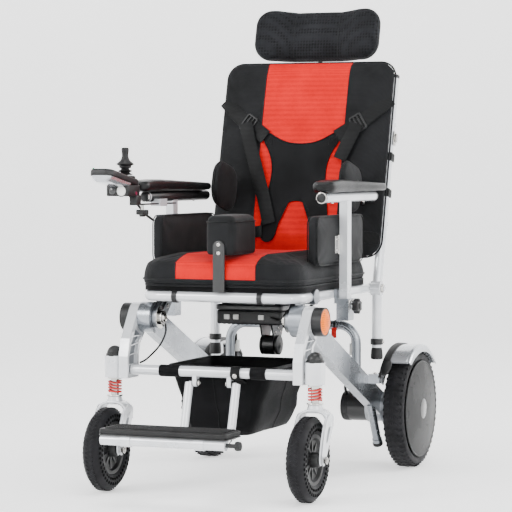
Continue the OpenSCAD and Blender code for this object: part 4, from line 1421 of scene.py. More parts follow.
            stud = lathe([(0.01, 240.6), (3.9, 240.6), (3.9, 246), (0.01, 246)], 16)
            put(f"knob_neck_{tag}", (neck + stud).moved(placed(0, -20, 434) @ ALONG_X).mirrored(side),
                Finishes.PLATED_STEEL, knob_body)

    def cables(self) -> None:
        """Leads from the box to the beams."""
        runs = {
            "lead_front": ([at(60, -80, 404), at(92, -96, 398), at(128, -120, 412), at(150, -150, 430),
                at(168, -176, 447)], 3.0),
            "lead_rear": ([at(30, 86, 408), at(36, 112, 398), at(60, 150, 410), at(96, 196, 440),
                at(128, 226, 452)], 3.4),
            "lead_rear_right": ([at(-40, 86, 408), at(-52, 116, 394), at(-80, 160, 412), at(-112, 204, 440),
                at(-136, 226, 451)], 3.4),
        }
        for name, (points, radius) in runs.items():
            put(name, tube(points, radius, 10), Finishes.CABLE_PVC, self.body)


@dataclass
class Pommel:
    """The knee pommel on its steel strap."""

    body: str = "pommel"

    def build(self) -> None:
        """Builds the block, its cover's seams and the strap."""
        outline = rounded_rect(37.5, 73, 16, 6)
        mid = -213.6
        rings = [[at(12 + x, y + mid, z) for x, y in inset(outline, d)] for d, z in
                 ((6, 563.4), (1.5, 565.5), (0, 570), (0, 600), (0, 630), (1, 641), (3.5, 649), (8, 654),
                     (14, 656.5), (20, 657))]
        pad = put("pommel_block", loft(rings), Finishes.BLACK_KNIT, self.body, hides=["pommel_pad"])
        inflate(pad, Vector((0, 0, 1)), 5.0, 2.0, 2.0)
        loop = [at(12 + x, y + mid, 641) for x, y in inset(outline, 0.2)]
        put("pommel_piping", sweep(loop, circle(1.5, 8), closed=True), Finishes.WEBBING, self.body)
        arc = [(15 * math.cos(math.radians(a)), 582 + 15 * math.sin(math.radians(a)))
            for a in range(0, 181, 15)]
        upright = slab([(12 + x, z) for x, z in [(-15, 476.4), (15, 476.4)] + arc], 0, 4, 1.0, 2)
        stand = Matrix(((1, 0, 0, 0), (0, 0, -1, -0.287 + FRAME_Y), (0, 1, 0, 0), (0, 0, 0, 1)))
        foot = block(at(-3, -288, 476.3), at(27, -206, 480.1), 1.0)
        put("pommel_bracket", upright.moved(stand) + foot, Finishes.BLACK_POWDER, self.body,
            hides=["pommel_strap"])
        heads = joined([bolt(5.0, 3.4).moved(placed(12, -290.8, z) @ turn(90, "X")) for z in (568, 588)])
        put("pommel_screws", heads, Finishes.PLATED_STEEL, self.body)


@dataclass
class Armrest:
    """One armrest: post, tube, contoured pad and hip pad."""

    side: float
    pad_front: float
    tag: str = ""

    def __post_init__(self) -> None:
        """Names the side."""
        self.tag = "left" if self.side > 0 else "right"

    def build(self) -> None:
        """Builds the pads and the tube's caps."""
        body = f"arm_{self.tag}"
        dress(Finishes.WHITE_POWDER, f"armrest_{self.tag}")
        self.pad(body)
        self.hip(body)
        cap = lathe([(0.01, -1.6), (6, -1.4), (10.5, -0.2), (12.3, 2.0), (12.5, 9), (0.01, 9)], 36)
        ring = torus_of([(11.2, -0.6), (13.6, 0.4), (14.0, 3.6), (12.4, 6.5), (11.6, 6.0)][::-1], 36)
        front = placed(229, -183.2, 697) @ ALONG_Y
        rear = placed(229, 191.5, 697) @ turn(90, "X")
        put(f"tube_caps_{self.tag}", (cap.moved(front) + cap.moved(rear)).mirrored(self.side),
            Finishes.BLACK_ABS, body)
        put(f"tube_ring_{self.tag}", ring.moved(front).mirrored(self.side), Finishes.PLATED_STEEL, body)
        heads = joined([bolt(4, 3).moved(placed(229, y, 685.6) @ turn(180, "X")) for y in (-110, 110)])
        put(f"pad_screws_{self.tag}", heads.mirrored(self.side), Finishes.PLATED_STEEL, body)

    def pad(self, body: str) -> None:
        """The arm pad: a full round front that thins towards the elbow.

        Args:
            body: The body that it moves with.
        """
        length = 405.0
        rings: list[list[Vector]] = []
        steps = 40
        for k in range(steps + 1):
            t = k / steps
            end = min(1.0, (t * length + 0.8) / 20, ((1 - t) * length + 0.8) / 16)
            grow = math.sqrt(max(0.0, 1 - (1 - end) ** 2))
            half = (27.5 - 3.5 * math.sin(math.pi * min(1, t * 1.1)) ** 2) * (0.25 + 0.75 * grow)
            top = 737.5 + 2.4 * math.exp(-((t - 0.22) / 0.13) ** 2) - 15.0 * max(0.0,
                t - 0.42) - 3.0 * max(0.0, 0.12 - t) / 0.12
            low = 709.6 + 1.0 * t
            mid, tall = (top + low) / 2, (top - low) / 2 * (0.35 + 0.65 * grow)
            ring = [at(229 + x, self.pad_front + t * length, mid + z) for x,
                z in rounded_rect(half, tall, min(half, tall) * 0.82, 5)]
            rings.append(ring)
        whole = loft(rings).moved(Matrix.Identity(4)).mirrored(self.side)
        made = put(f"arm_cushion_{self.tag}",
            Shape(whole.points, [tuple(reversed(f)) for f in whole.faces]), Finishes.SKIN_FOAM, body,
                   hides=[f"arm_pad_{self.tag}"])
        # On the right arm a black sheath covers the white tube: painted shadow, as the tube is only shaded
        # there.
        if self.side < 0:
            shadow_sheath = torus_of([(12.2, -166), (12.9, -165), (12.9, 186), (12.2, 187)][::-1],
                40).moved(placed(229, 0, 697) @ ALONG_Y)
            put("right_tube_painted_shadow", shadow_sheath.mirrored(self.side), Finishes.BLACK_ABS, body)
        feet = joined([block(at(220, y - 14, 708.8), at(238, y + 14, 713), 1.0) for y in (-110, 110)])
        put(f"pad_feet_{self.tag}", feet.mirrored(self.side), Finishes.BLACK_ABS, body)

    def hip(self, body: str) -> None:
        """The hip pad on its hinge plate.

        Args:
            body: The body that it moves with.
        """
        face = Matrix(((0, 0, 1, 0.201), (1, 0, 0, -0.006 + FRAME_Y), (0, 1, 0, 0.594), (0, 0, 0, 1)))
        outline = dense(rounded_rect(166, 60, 26, 6), 14)
        pad = put(f"hip_cushion_{self.tag}", pillow(outline, 26, 8, 2.2).moved(face).mirrored(self.side),
            Finishes.BLACK_KNIT, body,
                  hides=[f"hip_pad_{self.tag}"])
        inflate(pad, Vector((1, 0, 0)), 5.0, 2.2, 2.5)
        for x in (12.4, -12.4):
            loop = [face @ Vector((a * MM, b * MM, x * MM)) for a, b in inset(outline, 2.2)]
            put(f"hip_piping_{self.tag}_{'out' if x > 0 else 'in'}",
                sweep(loop, circle(1.5, 8), Vector((1, 0, 0)), closed=True).mirrored(self.side),
                Finishes.WEBBING, body)
        plate = block(at(216.6, -60, 562), at(219.6, -10, 604), 0.8)
        barrel = lathe([(0.01, 560), (3.4, 560), (3.4, 606), (0.01, 606)], 20).moved(placed(219.4, -38, 0))
        heads = joined([bolt(3.6, 2.2).moved(placed(219.6, y, z) @ ALONG_X) for y in (-54, -46)
            for z in (570, 596)])
        put(f"hip_plate_{self.tag}", (plate + barrel + heads).mirrored(self.side), Finishes.PLATED_STEEL,
            body)


@dataclass
class Joystick:
    """The drive control on the right armrest."""

    x: float = -236.0
    tilt: float = 9.9

    def build(self) -> None:
        """Builds the frame, shell, lamp block, stick and bellows."""
        self.case()
        self.lamps()
        self.stick()

    def case(self) -> None:
        """The tilted black frame and the silver shell under it."""
        deck = placed(self.x, -334, 745.2) @ turn(-self.tilt, "X")
        outline = rounded_rect(30, 84, 19, 7)
        frame_part = slab(outline, -8.4, 6.2, 3.4, 4).moved(deck)
        rail = sweep([deck @ Vector((x * MM, y * MM, 6.4 * MM)) for x, y in inset(outline, 4.5)],
            rounded_rect(2.4, 1.2, 1.1, 2),
                     Vector((0, 0, 1)), closed=True)
        panel = slab(rounded_rect(20, 20, 6, 4), 5.8, 7.0, 0.5,
            1).moved(deck @ Matrix.Translation((0, -0.052, 0)))
        put("control_frame", frame_part, Finishes.BLACK_ABS, "controller", hides=["controller_case"])
        put("control_bead", rail, Finishes.BLACK_ABS, "controller")
        put("control_keypad", panel, Finishes.BLACK_ABS, "controller")
        keys = joined([lathe([(0.01, 6.8), (3.4, 6.8), (3.4, 7.9), (2.6, 8.6), (0.01, 8.7)], 20).moved(
            deck @ Matrix.Translation((x * MM, y * MM, 0))) for x in (-10, 0, 10) for y in (-60, -47)])
        put("control_keys", keys, Finishes.RUBBER, "controller")
        lamp = lathe([(0.01, 6.0), (2.4, 6.0), (2.4, 9.0), (1.6, 11), (0.01, 11.4)],
            16).moved(deck @ Matrix.Translation((-0.022, -0.072, 0)))
        put("control_indicator", lamp, Finishes.GREEN_LENS, "controller")
        shell: list[list[Vector]] = []
        for d, z, grow in ((2.6, -7.8, 0), (3.2, -10, 0), (5.5, -14, -3), (9.5, -18.5, -9),
                (14, -21.5, -16)):
            ring = [(x, min(y, 34 + grow)) for x, y in inset(outline, d)]
            shell.append([deck @ Vector((x * MM, y * MM, z * MM)) for x, y in ring])
        shape = loft(list(reversed(shell)))
        put("control_shell", shape, Finishes.SILVER_ABS, "controller", hides=["controller_belly"])

    def lamps(self) -> None:
        """The black lamp block with its two windows, the switch, the mounting bar, clamp and knob."""
        body = "controller"
        housing = slab(rounded_rect(29, 37, 8, 5), 700.5, 727, 3, 3).moved(placed(self.x, -288, 0))
        put("lamp_block", housing, Finishes.BLACK_ABS, body)
        for name, x, finish, reach in (("lamp_clear", self.x + 13, Finishes.WHITE_LENS, 12.0),
                ("lamp_dark", self.x - 11, Finishes.GLOSS_ABS, 10.0)):
            spot = placed(x, -324.2, 713) @ turn(90, "X")
            window = lathe([(0.01, 0), (reach, 0), (reach, 1.6), (reach * 0.8, 3.2), (0.01, 4.0)], 36)
            bezel = torus_of([(reach, 0), (reach + 2, 0.2), (reach + 2, 2.6), (reach, 3.0)][::-1], 36)
            put(name, window.moved(spot), finish, body)
            put(f"{name}_bezel", bezel.moved(spot), Finishes.BLACK_ABS, body)
        dress(Finishes.RED_BUTTON, "power_button")
        ring = torus_of([(4.3, 0), (6.4, 0), (6.0, 1.1), (4.3, 1.2)][::-1], 28)
        put("switch_ring", ring.moved(placed(self.x + 29, -280, 707.5) @ ALONG_X), Finishes.BLACK_ABS, body)
        bar = block(at(self.x + 12.2, -262, 678.1), at(self.x + 29.8, -46.2, 681.9), 0.8)
        foot = block(at(self.x + 10, -276, 678.2), at(self.x + 29.5, -250, 702), 2.0)
        put("mount_bar", bar, Finishes.BLACK_POWDER, body)
        put("mount_foot", foot, Finishes.BLACK_ABS, body)
        star: list[Point2] = []
        for k in range(36):
            a = 2 * math.pi * k / 36
            r = 14.5 + 2.4 * math.cos(6 * a)
            star.append((r * math.cos(a), r * math.sin(a)))
        knob = slab(star, 655, 667, 2.5, 3) + lathe([(0.01, 650), (6.5, 650), (7.5, 652), (8.5, 656),
            (0.01, 656)], 24)
        put("clamp_knob", knob.moved(placed(self.x + 21, -226, 0)), Finishes.BLACK_ABS, body)
        stud = lathe([(0.01, 666), (3.6, 666), (3.6, 678.4), (0.01, 678.4)], 16)
        put("clamp_stud", stud.moved(placed(self.x + 21, -226, 0)), Finishes.PLATED_STEEL, body)
        lead = tube([at(self.x + 4, -262, 701), at(self.x + 6, -240, 690), at(self.x + 8, -212, 672),
            at(self.x + 13, -190, 655),
                     at(self.x + 24, -168, 640)], 3.2, 10)
        put("joystick_lead", lead, Finishes.CABLE_PVC, body)

    def stick(self) -> None:
        """The stick's grip, shaft and bellows."""
        dress(Finishes.BLACK_ABS, "joystick_gimbal")
        here = placed(self.x, -277, 728)
        grip = [(0.01, 22), (17.5, 23), (18.4, 24.6), (12.0, 27.5), (10.6, 29), (16.2, 31.5), (16.8, 33),
            (10.4, 36), (9.4, 38),
                (14.0, 40), (15.0, 41.5), (14.0, 44), (20.6, 47.6), (21.2, 49.4), (17.0, 53), (11.6, 57.5),
                (9.0, 63), (7.9, 68), (7.8, 73),
                (8.6, 79), (9.0, 84), (8.4, 87.2), (6.0, 88.4), (0.01, 88.6)]
        put("stick_grip", lathe(grip, 40).moved(here), Finishes.RUBBER, "stick", hides=["joystick_stick"],
            sharp=60)
        skirt = torus_of([(13.5, 14), (23.6, 15.2), (24.6, 17.6), (22.4, 20.4), (15.4, 21.6),
            (13.5, 21)][::-1], 44)
        put("bellows_base", skirt.moved(here), Finishes.RUBBER, "controller")


# ---- back ----------------------------------------------------------------


@dataclass
class Back:
    """Canes, braces, cushion, harness, trunk pads and headrest."""

    body: str = "back"

    def build(self) -> None:
        """Builds the back from the cushion outwards."""
        dress(Finishes.WHITE_POWDER, "back_canes", "back_braces")
        dress(Finishes.PLATED_STEEL, "headrest_stem")
        cushion = self.cushion()
        self.harness(cushion)
        self.canes()
        for side, tag in ((LEFT, "left"), (RIGHT, "right")):
            self.trunk_pad(side, tag)
        self.headrest()

    def cushion(self) -> bpy.types.Object:
        """The back cushion with its three upright panels.

        Returns:
            The cushion, for the harness to lie on.
        """
        outline = dense(rounded_rect(232.5, 256, 42, 8), 16)
        face = BACK @ Matrix.Translation((0, -0.0165, 0.3315)) @ turn(90, "X")
        shape = pillow(outline, 40, 16, 4.0, 9)

        def fit(p: Vector) -> Vector:
            """Shapes the back to the sitter.

            Args:
                p: A point of the cushion.

            Returns:
                The point after the shaping.
            """
            rear = p.z < 0
            pinch = 0.9 if rear and abs(p.x) > 0.19 else 1.0
            return Vector((p.x * pinch, p.y, p.z * (0.72 if rear else 1.0)))

        pad = put("back_pad", shape.bent(fit).moved(face), Finishes.BACK_CLOTH, self.body,
            hides=["back_cushion"])
        inflate(pad, BACK.to_3x3() @ Vector((0, 1, 0)), 6.5, 3.0, 5.0, firm=True)
        ahead = BACK.to_3x3() @ Vector((0, 1, 0))
        for side, tag in ((LEFT, "left"), (RIGHT, "right")):
            line = laid_on(pad, [BACK @ Vector((side * 0.115, -0.03, z * MM)) for z in range(84, 582, 12)],
                ahead, -0.3)
            put(f"back_seam_{tag}", tube(line, 1.6, 8), Finishes.BLACK_KNIT, self.body)
        rim = [face @ Vector((x * MM, y * MM, 0.004)) for x, y in inset(outline, -0.4)]
        put("back_piping", sweep(rim, circle(2.4, 8), ahead, closed=True), Finishes.BLACK_KNIT, self.body)
        panel = slab(rounded_rect(196, 224, 30, 6), 0, 3, 1.2,
            2).moved(BACK @ Matrix.Translation((0, 0.0045, 0.3455)) @ turn(90, "X"))
        put("back_shell", panel, Finishes.NYLON, self.body)
        return pad

    def harness(self, cushion: bpy.types.Object) -> None:
        """The butterfly chest harness, its bound edge, four straps and buckles.

        Args:
            cushion: The back cushion that it lies on.
        """
        half = [(0, 216), (20, 212), (36, 196), (44, 166), (50, 124), (64, 106), (84, 108), (92, 132),
            (88, 180), (80, 230), (73, 276),
                (74, 312), (86, 346), (102, 370), (106, 390), (92, 396), (70, 382), (40, 368), (0, 364)]
        whole = [(x, z) for x, z in half] + [(-x, z) for x, z in reversed(half[1:-1])]
        outline = softened(whole, 2)
        ahead = BACK.to_3x3() @ Vector((0, 1, 0))
        face = BACK @ Matrix.Translation((0, -0.0445, 0)) @ turn(90, "X")
        vest = put("chest_vest", pillow(outline, 6.4, 2.6, 1.2, 6).moved(face), Finishes.NEOPRENE,
            self.body, hides=["harness"])
        bound = [face @ Vector((x * MM, y * MM, 0.0012)) for x, y in outline]
        put("vest_binding", sweep(bound, rounded_rect(1.2, 3.6, 1.1, 2), ahead, closed=True),
            Finishes.WEBBING, self.body)
        for side, tag in ((LEFT, "left"), (RIGHT, "right")):
            shoulder = [(229, 486), (200, 458), (168, 430), (134, 408), (98, 382)]
            drawn = laid_on(cushion, [BACK @ Vector((side * x * MM, -0.03, z * MM)) for x, z in shoulder],
                ahead, 2.4)
            drawn[-1] = BACK @ Vector((side * 0.098, -0.0520, 0.382))
            put(f"shoulder_strap_{tag}", webbing(drawn, 38, -ahead), Finishes.WEBBING, self.body)
            waist = [(228, 120), (184, 124), (140, 128), (104, 132), (84, 134)]
            low = laid_on(cushion, [BACK @ Vector((side * x * MM, -0.03, z * MM)) for x, z in waist], ahead,
                2.4)
            low[-1] = BACK @ Vector((side * 0.084, -0.0515, 0.134))
            put(f"waist_strap_{tag}", webbing(low, 30, -ahead), Finishes.WEBBING, self.body)
            self.buckle(f"shoulder_buckle_{tag}", drawn[2], drawn[3], 44)
            self.buckle(f"waist_buckle_{tag}", low[2], low[3], 36)
            long_tail = side < 0
            tail = [(156, 420), (142, 372), (122, 318), (102, 262), (82, 206),
                (66, 152)] if long_tail else [(150, 416), (138, 384), (124, 352), (112, 322)]
            loose = [BACK @ Vector((side * x * MM, -0.0555, z * MM)) for x, z in tail]
            put(f"strap_tail_{tag}", webbing(loose, 36, -ahead), Finishes.WEBBING, self.body)
            stitch = [(78, 360), (98, 384), (98, 360), (78, 384), (78, 360)]
            cross = [BACK @ Vector((side * x * MM, -0.0528, z * MM)) for x, z in stitch]
            put(f"box_stitch_{tag}", tube(cross, 0.7, 6, False), Finishes.BLACK_KNIT, self.body)

    def buckle(self, name: str, start: Vector, end: Vector, width: float) -> None:
        """A ladder-lock buckle across a strap.

        Args:
            name: The piece's name.
            start: Where the strap starts.
            end: Where it ends.
            width: The strap's width.
        """
        along = (end - start).normalized()
        out = -(BACK.to_3x3() @ Vector((0, 1, 0)))
        side = along.cross(out).normalized()
        out = side.cross(along).normalized()
        here = Matrix((side, along, out)).transposed().to_4x4()
        here.translation = (start + end) / 2 + out * 0.002
        rim = sweep([Vector((x * MM, y * MM, 0)) for x, y in rounded_rect(width / 2, 15, 4, 3)],
            rounded_rect(2.0, 2.2, 1.2, 2),
                    Vector((0, 0, 1)), closed=True)
        bars = joined([block(Vector((-width / 2 * MM, (y - 1.6) * MM, -0.002)),
            Vector((width / 2 * MM, (y + 1.6) * MM, 0.002)), 1.0)
                       for y in (-5, 5)])
        put(name, (rim + bars).moved(here), Finishes.BLACK_ABS, self.body)

    def canes(self) -> None:
        """Boots, clamp collars, eye bolts, grips and the side latches on the canes."""
        for side, tag in ((LEFT, "left"), (RIGHT, "right")):
            boot = lathe([(0.01, 283), (12, 283), (15.2, 284.5), (15.6, 290), (14.6, 306), (13.2, 312),
                (12.4, 313)], 36)
            put(f"cane_boot_{tag}", boot.moved(placed(222, 236, 0)).mirrored(side), Finishes.RUBBER,
                self.body)
            collar = torus_of([(12.4, 0), (16, 0.8), (16, 15.2), (12.4, 16)][::-1],
                36).moved(placed(222, 236, 320))
            lug = block(at(219, 220, 322), at(225, 224, 334), 0.8)
            put(f"cane_collar_{tag}", (collar + lug).mirrored(side), Finishes.BLACK_ABS, self.body)
            pin = bolt(4, 3.4).moved(placed(238, 236, 328) @ ALONG_X)
            eye = bolt(11, 6.5, 0.4).moved(placed(235.2, 236, 463) @ ALONG_X)
            put(f"cane_bolts_{tag}", (pin + eye).mirrored(side), Finishes.PLATED_STEEL, self.body)
            top = BACK @ Matrix.Translation((0.222, 0, 0.555))
            plug = lathe([(12.6, -6), (13.6, -5), (13.6, 1), (11, 4), (0.01, 4.6)], 36)
            put(f"cane_plug_{tag}", plug.moved(top).mirrored(side), Finishes.BLACK_ABS, self.body)
            latch = block(Vector((0.2345, -0.008, 0.372)), Vector((0.2375, 0.010, 0.408)), 0.8)
            lever = block(Vector((0.2375, -0.004, 0.380)), Vector((0.243, 0.006, 0.402)), 1.6)
            put(f"cane_latch_{tag}", (latch + lever).moved(BACK).mirrored(side), Finishes.PLATED_STEEL,
                self.body)
            for z in (236, 330):
                tab = block(Vector((0.203, -0.0135, z * MM)), Vector((0.2365, 0.0135, (z + 22) * MM)), 3.0)
                put(f"side_tab_{tag}_{z}", tab.moved(BACK).mirrored(side), Finishes.WEBBING, self.body)

    def trunk_pad(self, side: float, tag: str) -> None:
        """A curved trunk pad with its hinge plate.

        Args:
            side: 1 for the sitter's left, -1 for the right.
            tag: The side's name.
        """
        body = f"trunk_{tag}"
        outline = dense(rounded_rect(68, 58, 44, 8), 8)
        face = Matrix(((0, 0, 1, 0.171), (1, 0, 0, -0.1205), (0, 1, 0, 0.235), (0, 0, 0, 1)))
        pad = put(f"trunk_cushion_{tag}", pillow(outline, 20, 7, 2.6).moved(BACK @ face).mirrored(side),
            Finishes.BLACK_KNIT, body,
                  hides=[f"trunk_pad_{tag}"])
        inflate(pad, Vector((1, 0, 0)), 5.0, 2.2, 2.0)
        rim = [BACK @ face @ Vector((a * MM, b * MM, 0)) for a, b in inset(outline, -0.3)]
        put(f"trunk_piping_{tag}", sweep(rim, circle(1.7, 8), Vector((1, 0, 0)),
            closed=True).mirrored(side), Finishes.WEBBING, body)
        plate = block(Vector((0.1825, -0.110, 0.214)), Vector((0.1850, -0.050, 0.256)), 0.8)
        pin = lathe([(0.01, 206), (3.6, 206), (3.6, 264), (0.01, 264)],
            20).moved(Matrix.Translation((0.184, -0.050, 0)))
        put(f"trunk_hinge_{tag}", (plate + pin).moved(BACK).mirrored(side), Finishes.BLACK_POWDER, body)
        fixed = block(Vector((0.1835, -0.0440, 0.214)), Vector((0.2120, -0.0410, 0.256)), 0.8)
        put(f"trunk_anchor_{tag}", fixed.moved(BACK).mirrored(side), Finishes.BLACK_POWDER, self.body)

    def headrest(self) -> None:
        """The three-panel headrest, its piping, rear plate and clamp."""
        body = "headrest"
        span, tall, low = 172.0, 133.0, 603.0
        outline = dense(rounded_rect(span, tall / 2, 44, 9), 11)
        flat = pillow(outline, 46, 20, 3.0, 9)

        def wing(p: Vector) -> Vector:
            """Brings the headrest's two ends forwards.

            Args:
                p: A point of the headrest.

            Returns:
                The point after the bend.
            """
            x = abs(p.x) / MM
            bend = max(0.0, x - 52)
            forward = -0.0032 * bend * bend if bend < 60 else -11.5 - 0.12 * (bend - 60)
            valley = 3.2 * math.exp(-((x - 62) / 9.0) ** 2) if p.z > 0 else 0.0
            centre = 16 + forward
            return Vector((p.x, p.y + (4.0 * MM * min(1.0, bend / 60) if p.y > 0 else 0.0),
                p.z - (centre + valley) * MM))

        face = BACK @ Matrix.Translation((0, 0, (low + tall / 2) * MM)) @ turn(90, "X")
        shape = flat.bent(wing).moved(face)
        pad = put("head_cushion", shape, Finishes.BLACK_MESH, body, hides=["headrest_pad"])
        inflate(pad, BACK.to_3x3() @ Vector((0, 1, 0)), 5.0, 2.0, 2.5)
        ahead = BACK.to_3x3() @ Vector((0, 1, 0))
        for side, tag in ((LEFT, "left"), (RIGHT, "right")):
            line = laid_on(pad, [BACK @ Vector((side * 0.062, -0.02, z * MM)) for z in range(610, 730, 8)],
                ahead, -0.3)
            put(f"head_seam_{tag}", tube(line, 1.4, 8), Finishes.BLACK_KNIT, body)
        ears = joined([block(Vector(((s * 36 - 3) * MM, 0.026, 0.654)),
            Vector(((s * 36 + 3) * MM, 0.058, 0.672)), 1.5) for s in (-1, 1)])
        plate = block(Vector((-0.046, 0.0240, 0.636)), Vector((0.046, 0.0275, 0.690)), 1.2)
        put("head_ears", (ears + plate).moved(BACK), Finishes.BLACK_POWDER, body)
        knob = lathe([(0.01, 44), (5, 44), (9.5, 46), (10, 54), (8.5, 57), (0.01, 57.5)], 28)
        put("head_knob", knob.moved(BACK @ Matrix.Translation((0, 0.050, 0.663)) @ ALONG_X),
            Finishes.BLACK_ABS, "headrest_mast")
        lock = lathe([(0.01, 13), (4, 13), (4, 20), (9, 22), (9.4, 32), (0.01, 33)], 28)
        put("mast_knob", lock.moved(BACK @ Matrix.Translation((0, 0.034, 0.430)) @ turn(-90, "X")),
            Finishes.BLACK_ABS, self.body)


# ---- bag -----------------------------------------------------------------


@dataclass
class StorageBag:
    """The open black bag slung from the cross tube."""

    body: str = "front_frame"

    def width(self, z: float) -> float:
        """Half the bag's width at a height."""
        return 84 + (136 - 84) * (z - 140) / 156

    def build(self) -> None:
        """Builds the shell, its bound mouth, side seams, loops and strap."""
        rings: list[list[Vector]] = []
        for z, cut in ((296, 0), (288, 1.5), (270, 3), (245, 4), (215, 4), (185, 2), (160, 0.5), (146, 3),
                (138, 9), (134.2, 20), (133.2, 40)):
            half = self.width(max(z, 140)) - cut
            front, rear = -260 + cut * 0.6, 13 - cut * 0.6
            mid, deep = (front + rear) / 2, (rear - front) / 2
            loop = dense(rounded_rect(half, deep, 22, 5), 26)
            rings.append([at(x, y + mid, z) for x, y in self.even(loop, 84)])
        shell = loft(rings, caps=False)
        floor = Shape(list(rings[-1]), [tuple(range(len(rings[-1])))])
        shape = (shell + floor).bent(self.sag)
        bag = put("bag_shell", shape, Finishes.NYLON, self.body, hides=["storage_bag"])
        thick = bag.modifiers.new("cloth", "SOLIDIFY")
        thick.thickness = 2.2 * MM
        thick.offset = -1 if self.outward(bag) else 1
        rim = [self.sag(p) + Vector((0, 0, 0.0006)) for p in rings[0]]
        put("bag_binding", sweep(rim, rounded_rect(2.2, 3.4, 1.4, 2), closed=True), Finishes.WEBBING,
            self.body)
        corners = [round(len(rings[0]) * share) for share in (0.125, 0.375, 0.625, 0.875)]
        for k, corner in enumerate(corners):
            line = [self.sag(ring[corner]) for ring in rings[:9]]
            put(f"bag_seam_{k}", tube(line, 1.6, 8), Finishes.WEBBING, self.body)
        for name, x0, x1 in (("right", -136.0, -84.0), ("left", 96.0, 136.0)):
            self.loop(name, x0, x1)
        strap = webbing([at(60, -262, 262), at(60, -282, 270), at(60, -303, 276), at(60, -309, 288),
            at(60, -302, 301), at(60, -286, 302),
                         at(60, -266, 292)], 24, Vector((0, -1, 0.2)), 1.8)
        put("bag_strap", strap, Finishes.WEBBING, self.body)
        put("bag_snap", bolt(6, 2.6, 0.3).moved(placed(60, -308.6, 282) @ turn(90, "X")),
            Finishes.PLATED_STEEL, self.body)

    @staticmethod
    def even(loop: Sequence[Point2], count: int) -> list[Point2]:
        """The loop with a fixed number of evenly spaced points.

        Args:
            loop: The outline.
            count: How many points it gets.

        Returns:
            The evenly spaced outline.
        """
        closed = list(loop) + [loop[0]]
        lengths = [0.0]
        for a, b in zip(closed, closed[1:]):
            lengths.append(lengths[-1] + math.hypot(b[0] - a[0], b[1] - a[1]))
        out: list[Point2] = []
        j = 0
        for k in range(count):
            want = lengths[-1] * k / count
            while lengths[j + 1] < want:
                j += 1
            t = (want - lengths[j]) / max(1e-9, lengths[j + 1] - lengths[j])
            out.append((closed[j][0] + (closed[j + 1][0] - closed[j][0]) * t,
                closed[j][1] + (closed[j + 1][1] - closed[j][1]) * t))
        return out

    @staticmethod
    def sag(p: Vector) -> Vector:
        """The slack of the cloth: shallow folds that fade towards the mouth."""
        low = max(0.0, min(1.0, (0.290 - p.z) / 0.12))
        fold = 0.0022 * low * (math.sin(p.z * 95 + p.x * 31) + 0.7 * math.sin(p.z * 47 - p.y * 39 + 1.3))
        return Vector((p.x * (1 - 0.016 * low) + (fold if p.x > 0 else -fold), p.y + 0.6 * fold,
            p.z + 0.0015 * low * math.sin(p.x * 28) ** 2))

    @staticmethod
    def outward(piece: bpy.types.Object) -> bool:
        """Whether the faces look away from the bag's middle."""
        middle = sum((v.co for v in piece.data.vertices), Vector()) / len(piece.data.vertices)
        votes = sum(1 if (f.center - middle).dot(f.normal) > 0 else -1 for f in piece.data.polygons)
        return votes > 0

    def loop(self, name: str, x0: float, x1: float) -> None:
        """A cloth loop from the bag's mouth round the cross tube.

        Args:
            name: The piece's name.
            x0: Where it starts across the chair.
            x1: Where it ends.
        """
        path: list[Vector] = [at(0, -259, 292)]
        for k in range(13):
            a = math.radians(70 + 25 * k)
            path.append(at(0, -294 + 13.6 * math.cos(a), 288 + 13.6 * math.sin(a)))
        path.append(at(0, -262, 276))
        mid = (x0 + x1) / 2
        strap = sweep([p + Vector((mid * MM, 0, 0)) for p in path],
            rounded_rect((x1 - x0) / 2, 0.9, 0.8, 2), Vector((0, 0, 1)))
        put(f"bag_loop_{name}", strap, Finishes.NYLON, self.body)


# ---- studio --------------------------------------------------------------


class Softbox(Enum):
    """The studio's lamps: place, size in metres, power in watts."""

    KEY = ((-3.4, -4.6, 3.6), 2.2, 190.0)
    FILL = ((4.8, -3.6, 2.4), 2.4, 80.0)
    TOP = ((0.2, -0.6, 4.4), 2.6, 135.0)
    RIM = ((3.4, 2.6, 2.6), 1.8, 100.0)


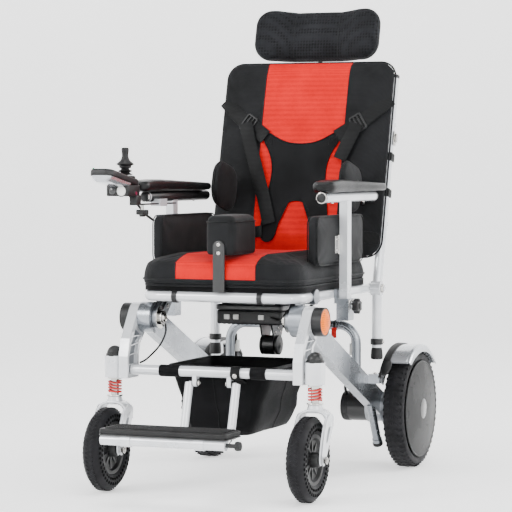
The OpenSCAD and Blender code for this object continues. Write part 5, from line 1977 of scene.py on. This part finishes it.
@dataclass
class Studio:
    """Floor, lamps, sky and camera."""

    camera_at: tuple[float, float, float] = (2.089, -5.099, 0.784)
    yaw: float = 22.19
    pitch: float = 2.41
    lens_mm: float = 158.6
    floor_radius: float = 7.0
    floor_bend: float = 2.5
    wall_top: float = 10.0

    def build(self) -> None:
        """Sets the stage and the camera."""
        self.floor()
        self.lamps()
        self.camera()

    def floor(self) -> None:
        """A pale round floor that curves up into a wall on every side."""
        flat, bend, top = self.floor_radius, self.floor_bend, self.wall_top
        profile = [(0.001, 0.0), (flat, 0.0)]
        profile += [(flat + bend * math.sin(math.radians(a)), bend - bend * math.cos(math.radians(a)))
            for a in range(10, 91, 10)]
        profile += [(flat + bend, top)]
        count = 64
        points = [(r * math.cos(math.tau * k / count), r * math.sin(math.tau * k / count), z) for r,
            z in profile for k in range(count)]
        faces = [(m * count + k, m * count + (k + 1) % count, (m + 1) * count + (k + 1) % count,
            (m + 1) * count + k)
                 for m in range(len(profile) - 1) for k in range(count)]
        mesh = bpy.data.meshes.new("studio_floor")
        mesh.from_pydata(points, [], faces)
        mesh.materials.append(Finishes.STUDIO_PAPER.value.build())
        mesh.polygons.foreach_set("use_smooth", [True] * len(mesh.polygons))
        floor = bpy.data.objects.new("studio_floor", mesh)
        bpy.context.scene.collection.objects.link(floor)

    def lamps(self) -> None:
        """Large soft lamps and an even white sky."""
        for lamp in Softbox:
            place, size, power = lamp.value
            data = bpy.data.lights.new(lamp.name.lower(), "AREA")
            data.shape, data.size, data.energy = "SQUARE", size, power
            light = bpy.data.objects.new(lamp.name.lower(), data)
            light.location = place
            light.rotation_euler = (Vector((0, 0.05, 0.55)) - Vector(place)).to_track_quat("-Z",
                "Y").to_euler()
            bpy.context.scene.collection.objects.link(light)
        world = bpy.data.worlds.new("studio_sky")
        world.use_nodes = True
        world.node_tree.nodes["Background"].inputs[0].default_value = (1.0, 1.0, 1.0, 1.0)
        world.node_tree.nodes["Background"].inputs[1].default_value = 0.15
        bpy.context.scene.world = world

    def camera(self) -> None:
        """A long lens at the sitter's left, a little above the seat."""
        data = bpy.data.cameras.new("view")
        data.lens, data.sensor_width = self.lens_mm, 36.0
        data.clip_end = 100.0
        camera = bpy.data.objects.new("view", data)
        camera.location = self.camera_at
        camera.rotation_euler = (math.radians(90 - self.pitch), 0, math.radians(self.yaw))
        bpy.context.scene.collection.objects.link(camera)
        bpy.context.scene.camera = camera


def main() -> None:
    """Builds the chair's looks over its CAD frame."""
    logging.basicConfig(level=logging.INFO, format="%(name)s: %(message)s")
    bpy.ops.wm.read_factory_settings(use_empty=True)
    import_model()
    Studio().build()
    RearFrame().build()
    for side, tag in ((LEFT, "left"), (RIGHT, "right")):
        RearWheel(f"rear_wheel_{tag}", side).build()
    FrontFrame().build()
    StorageBag().build()
    Footrest().build()
    Seat().build()
    Pommel().build()
    Armrest(LEFT, -184.0).build()
    Armrest(RIGHT, -232.0).build()
    Joystick().build()
    Back().build()


if __name__ == "__main__":
    main()
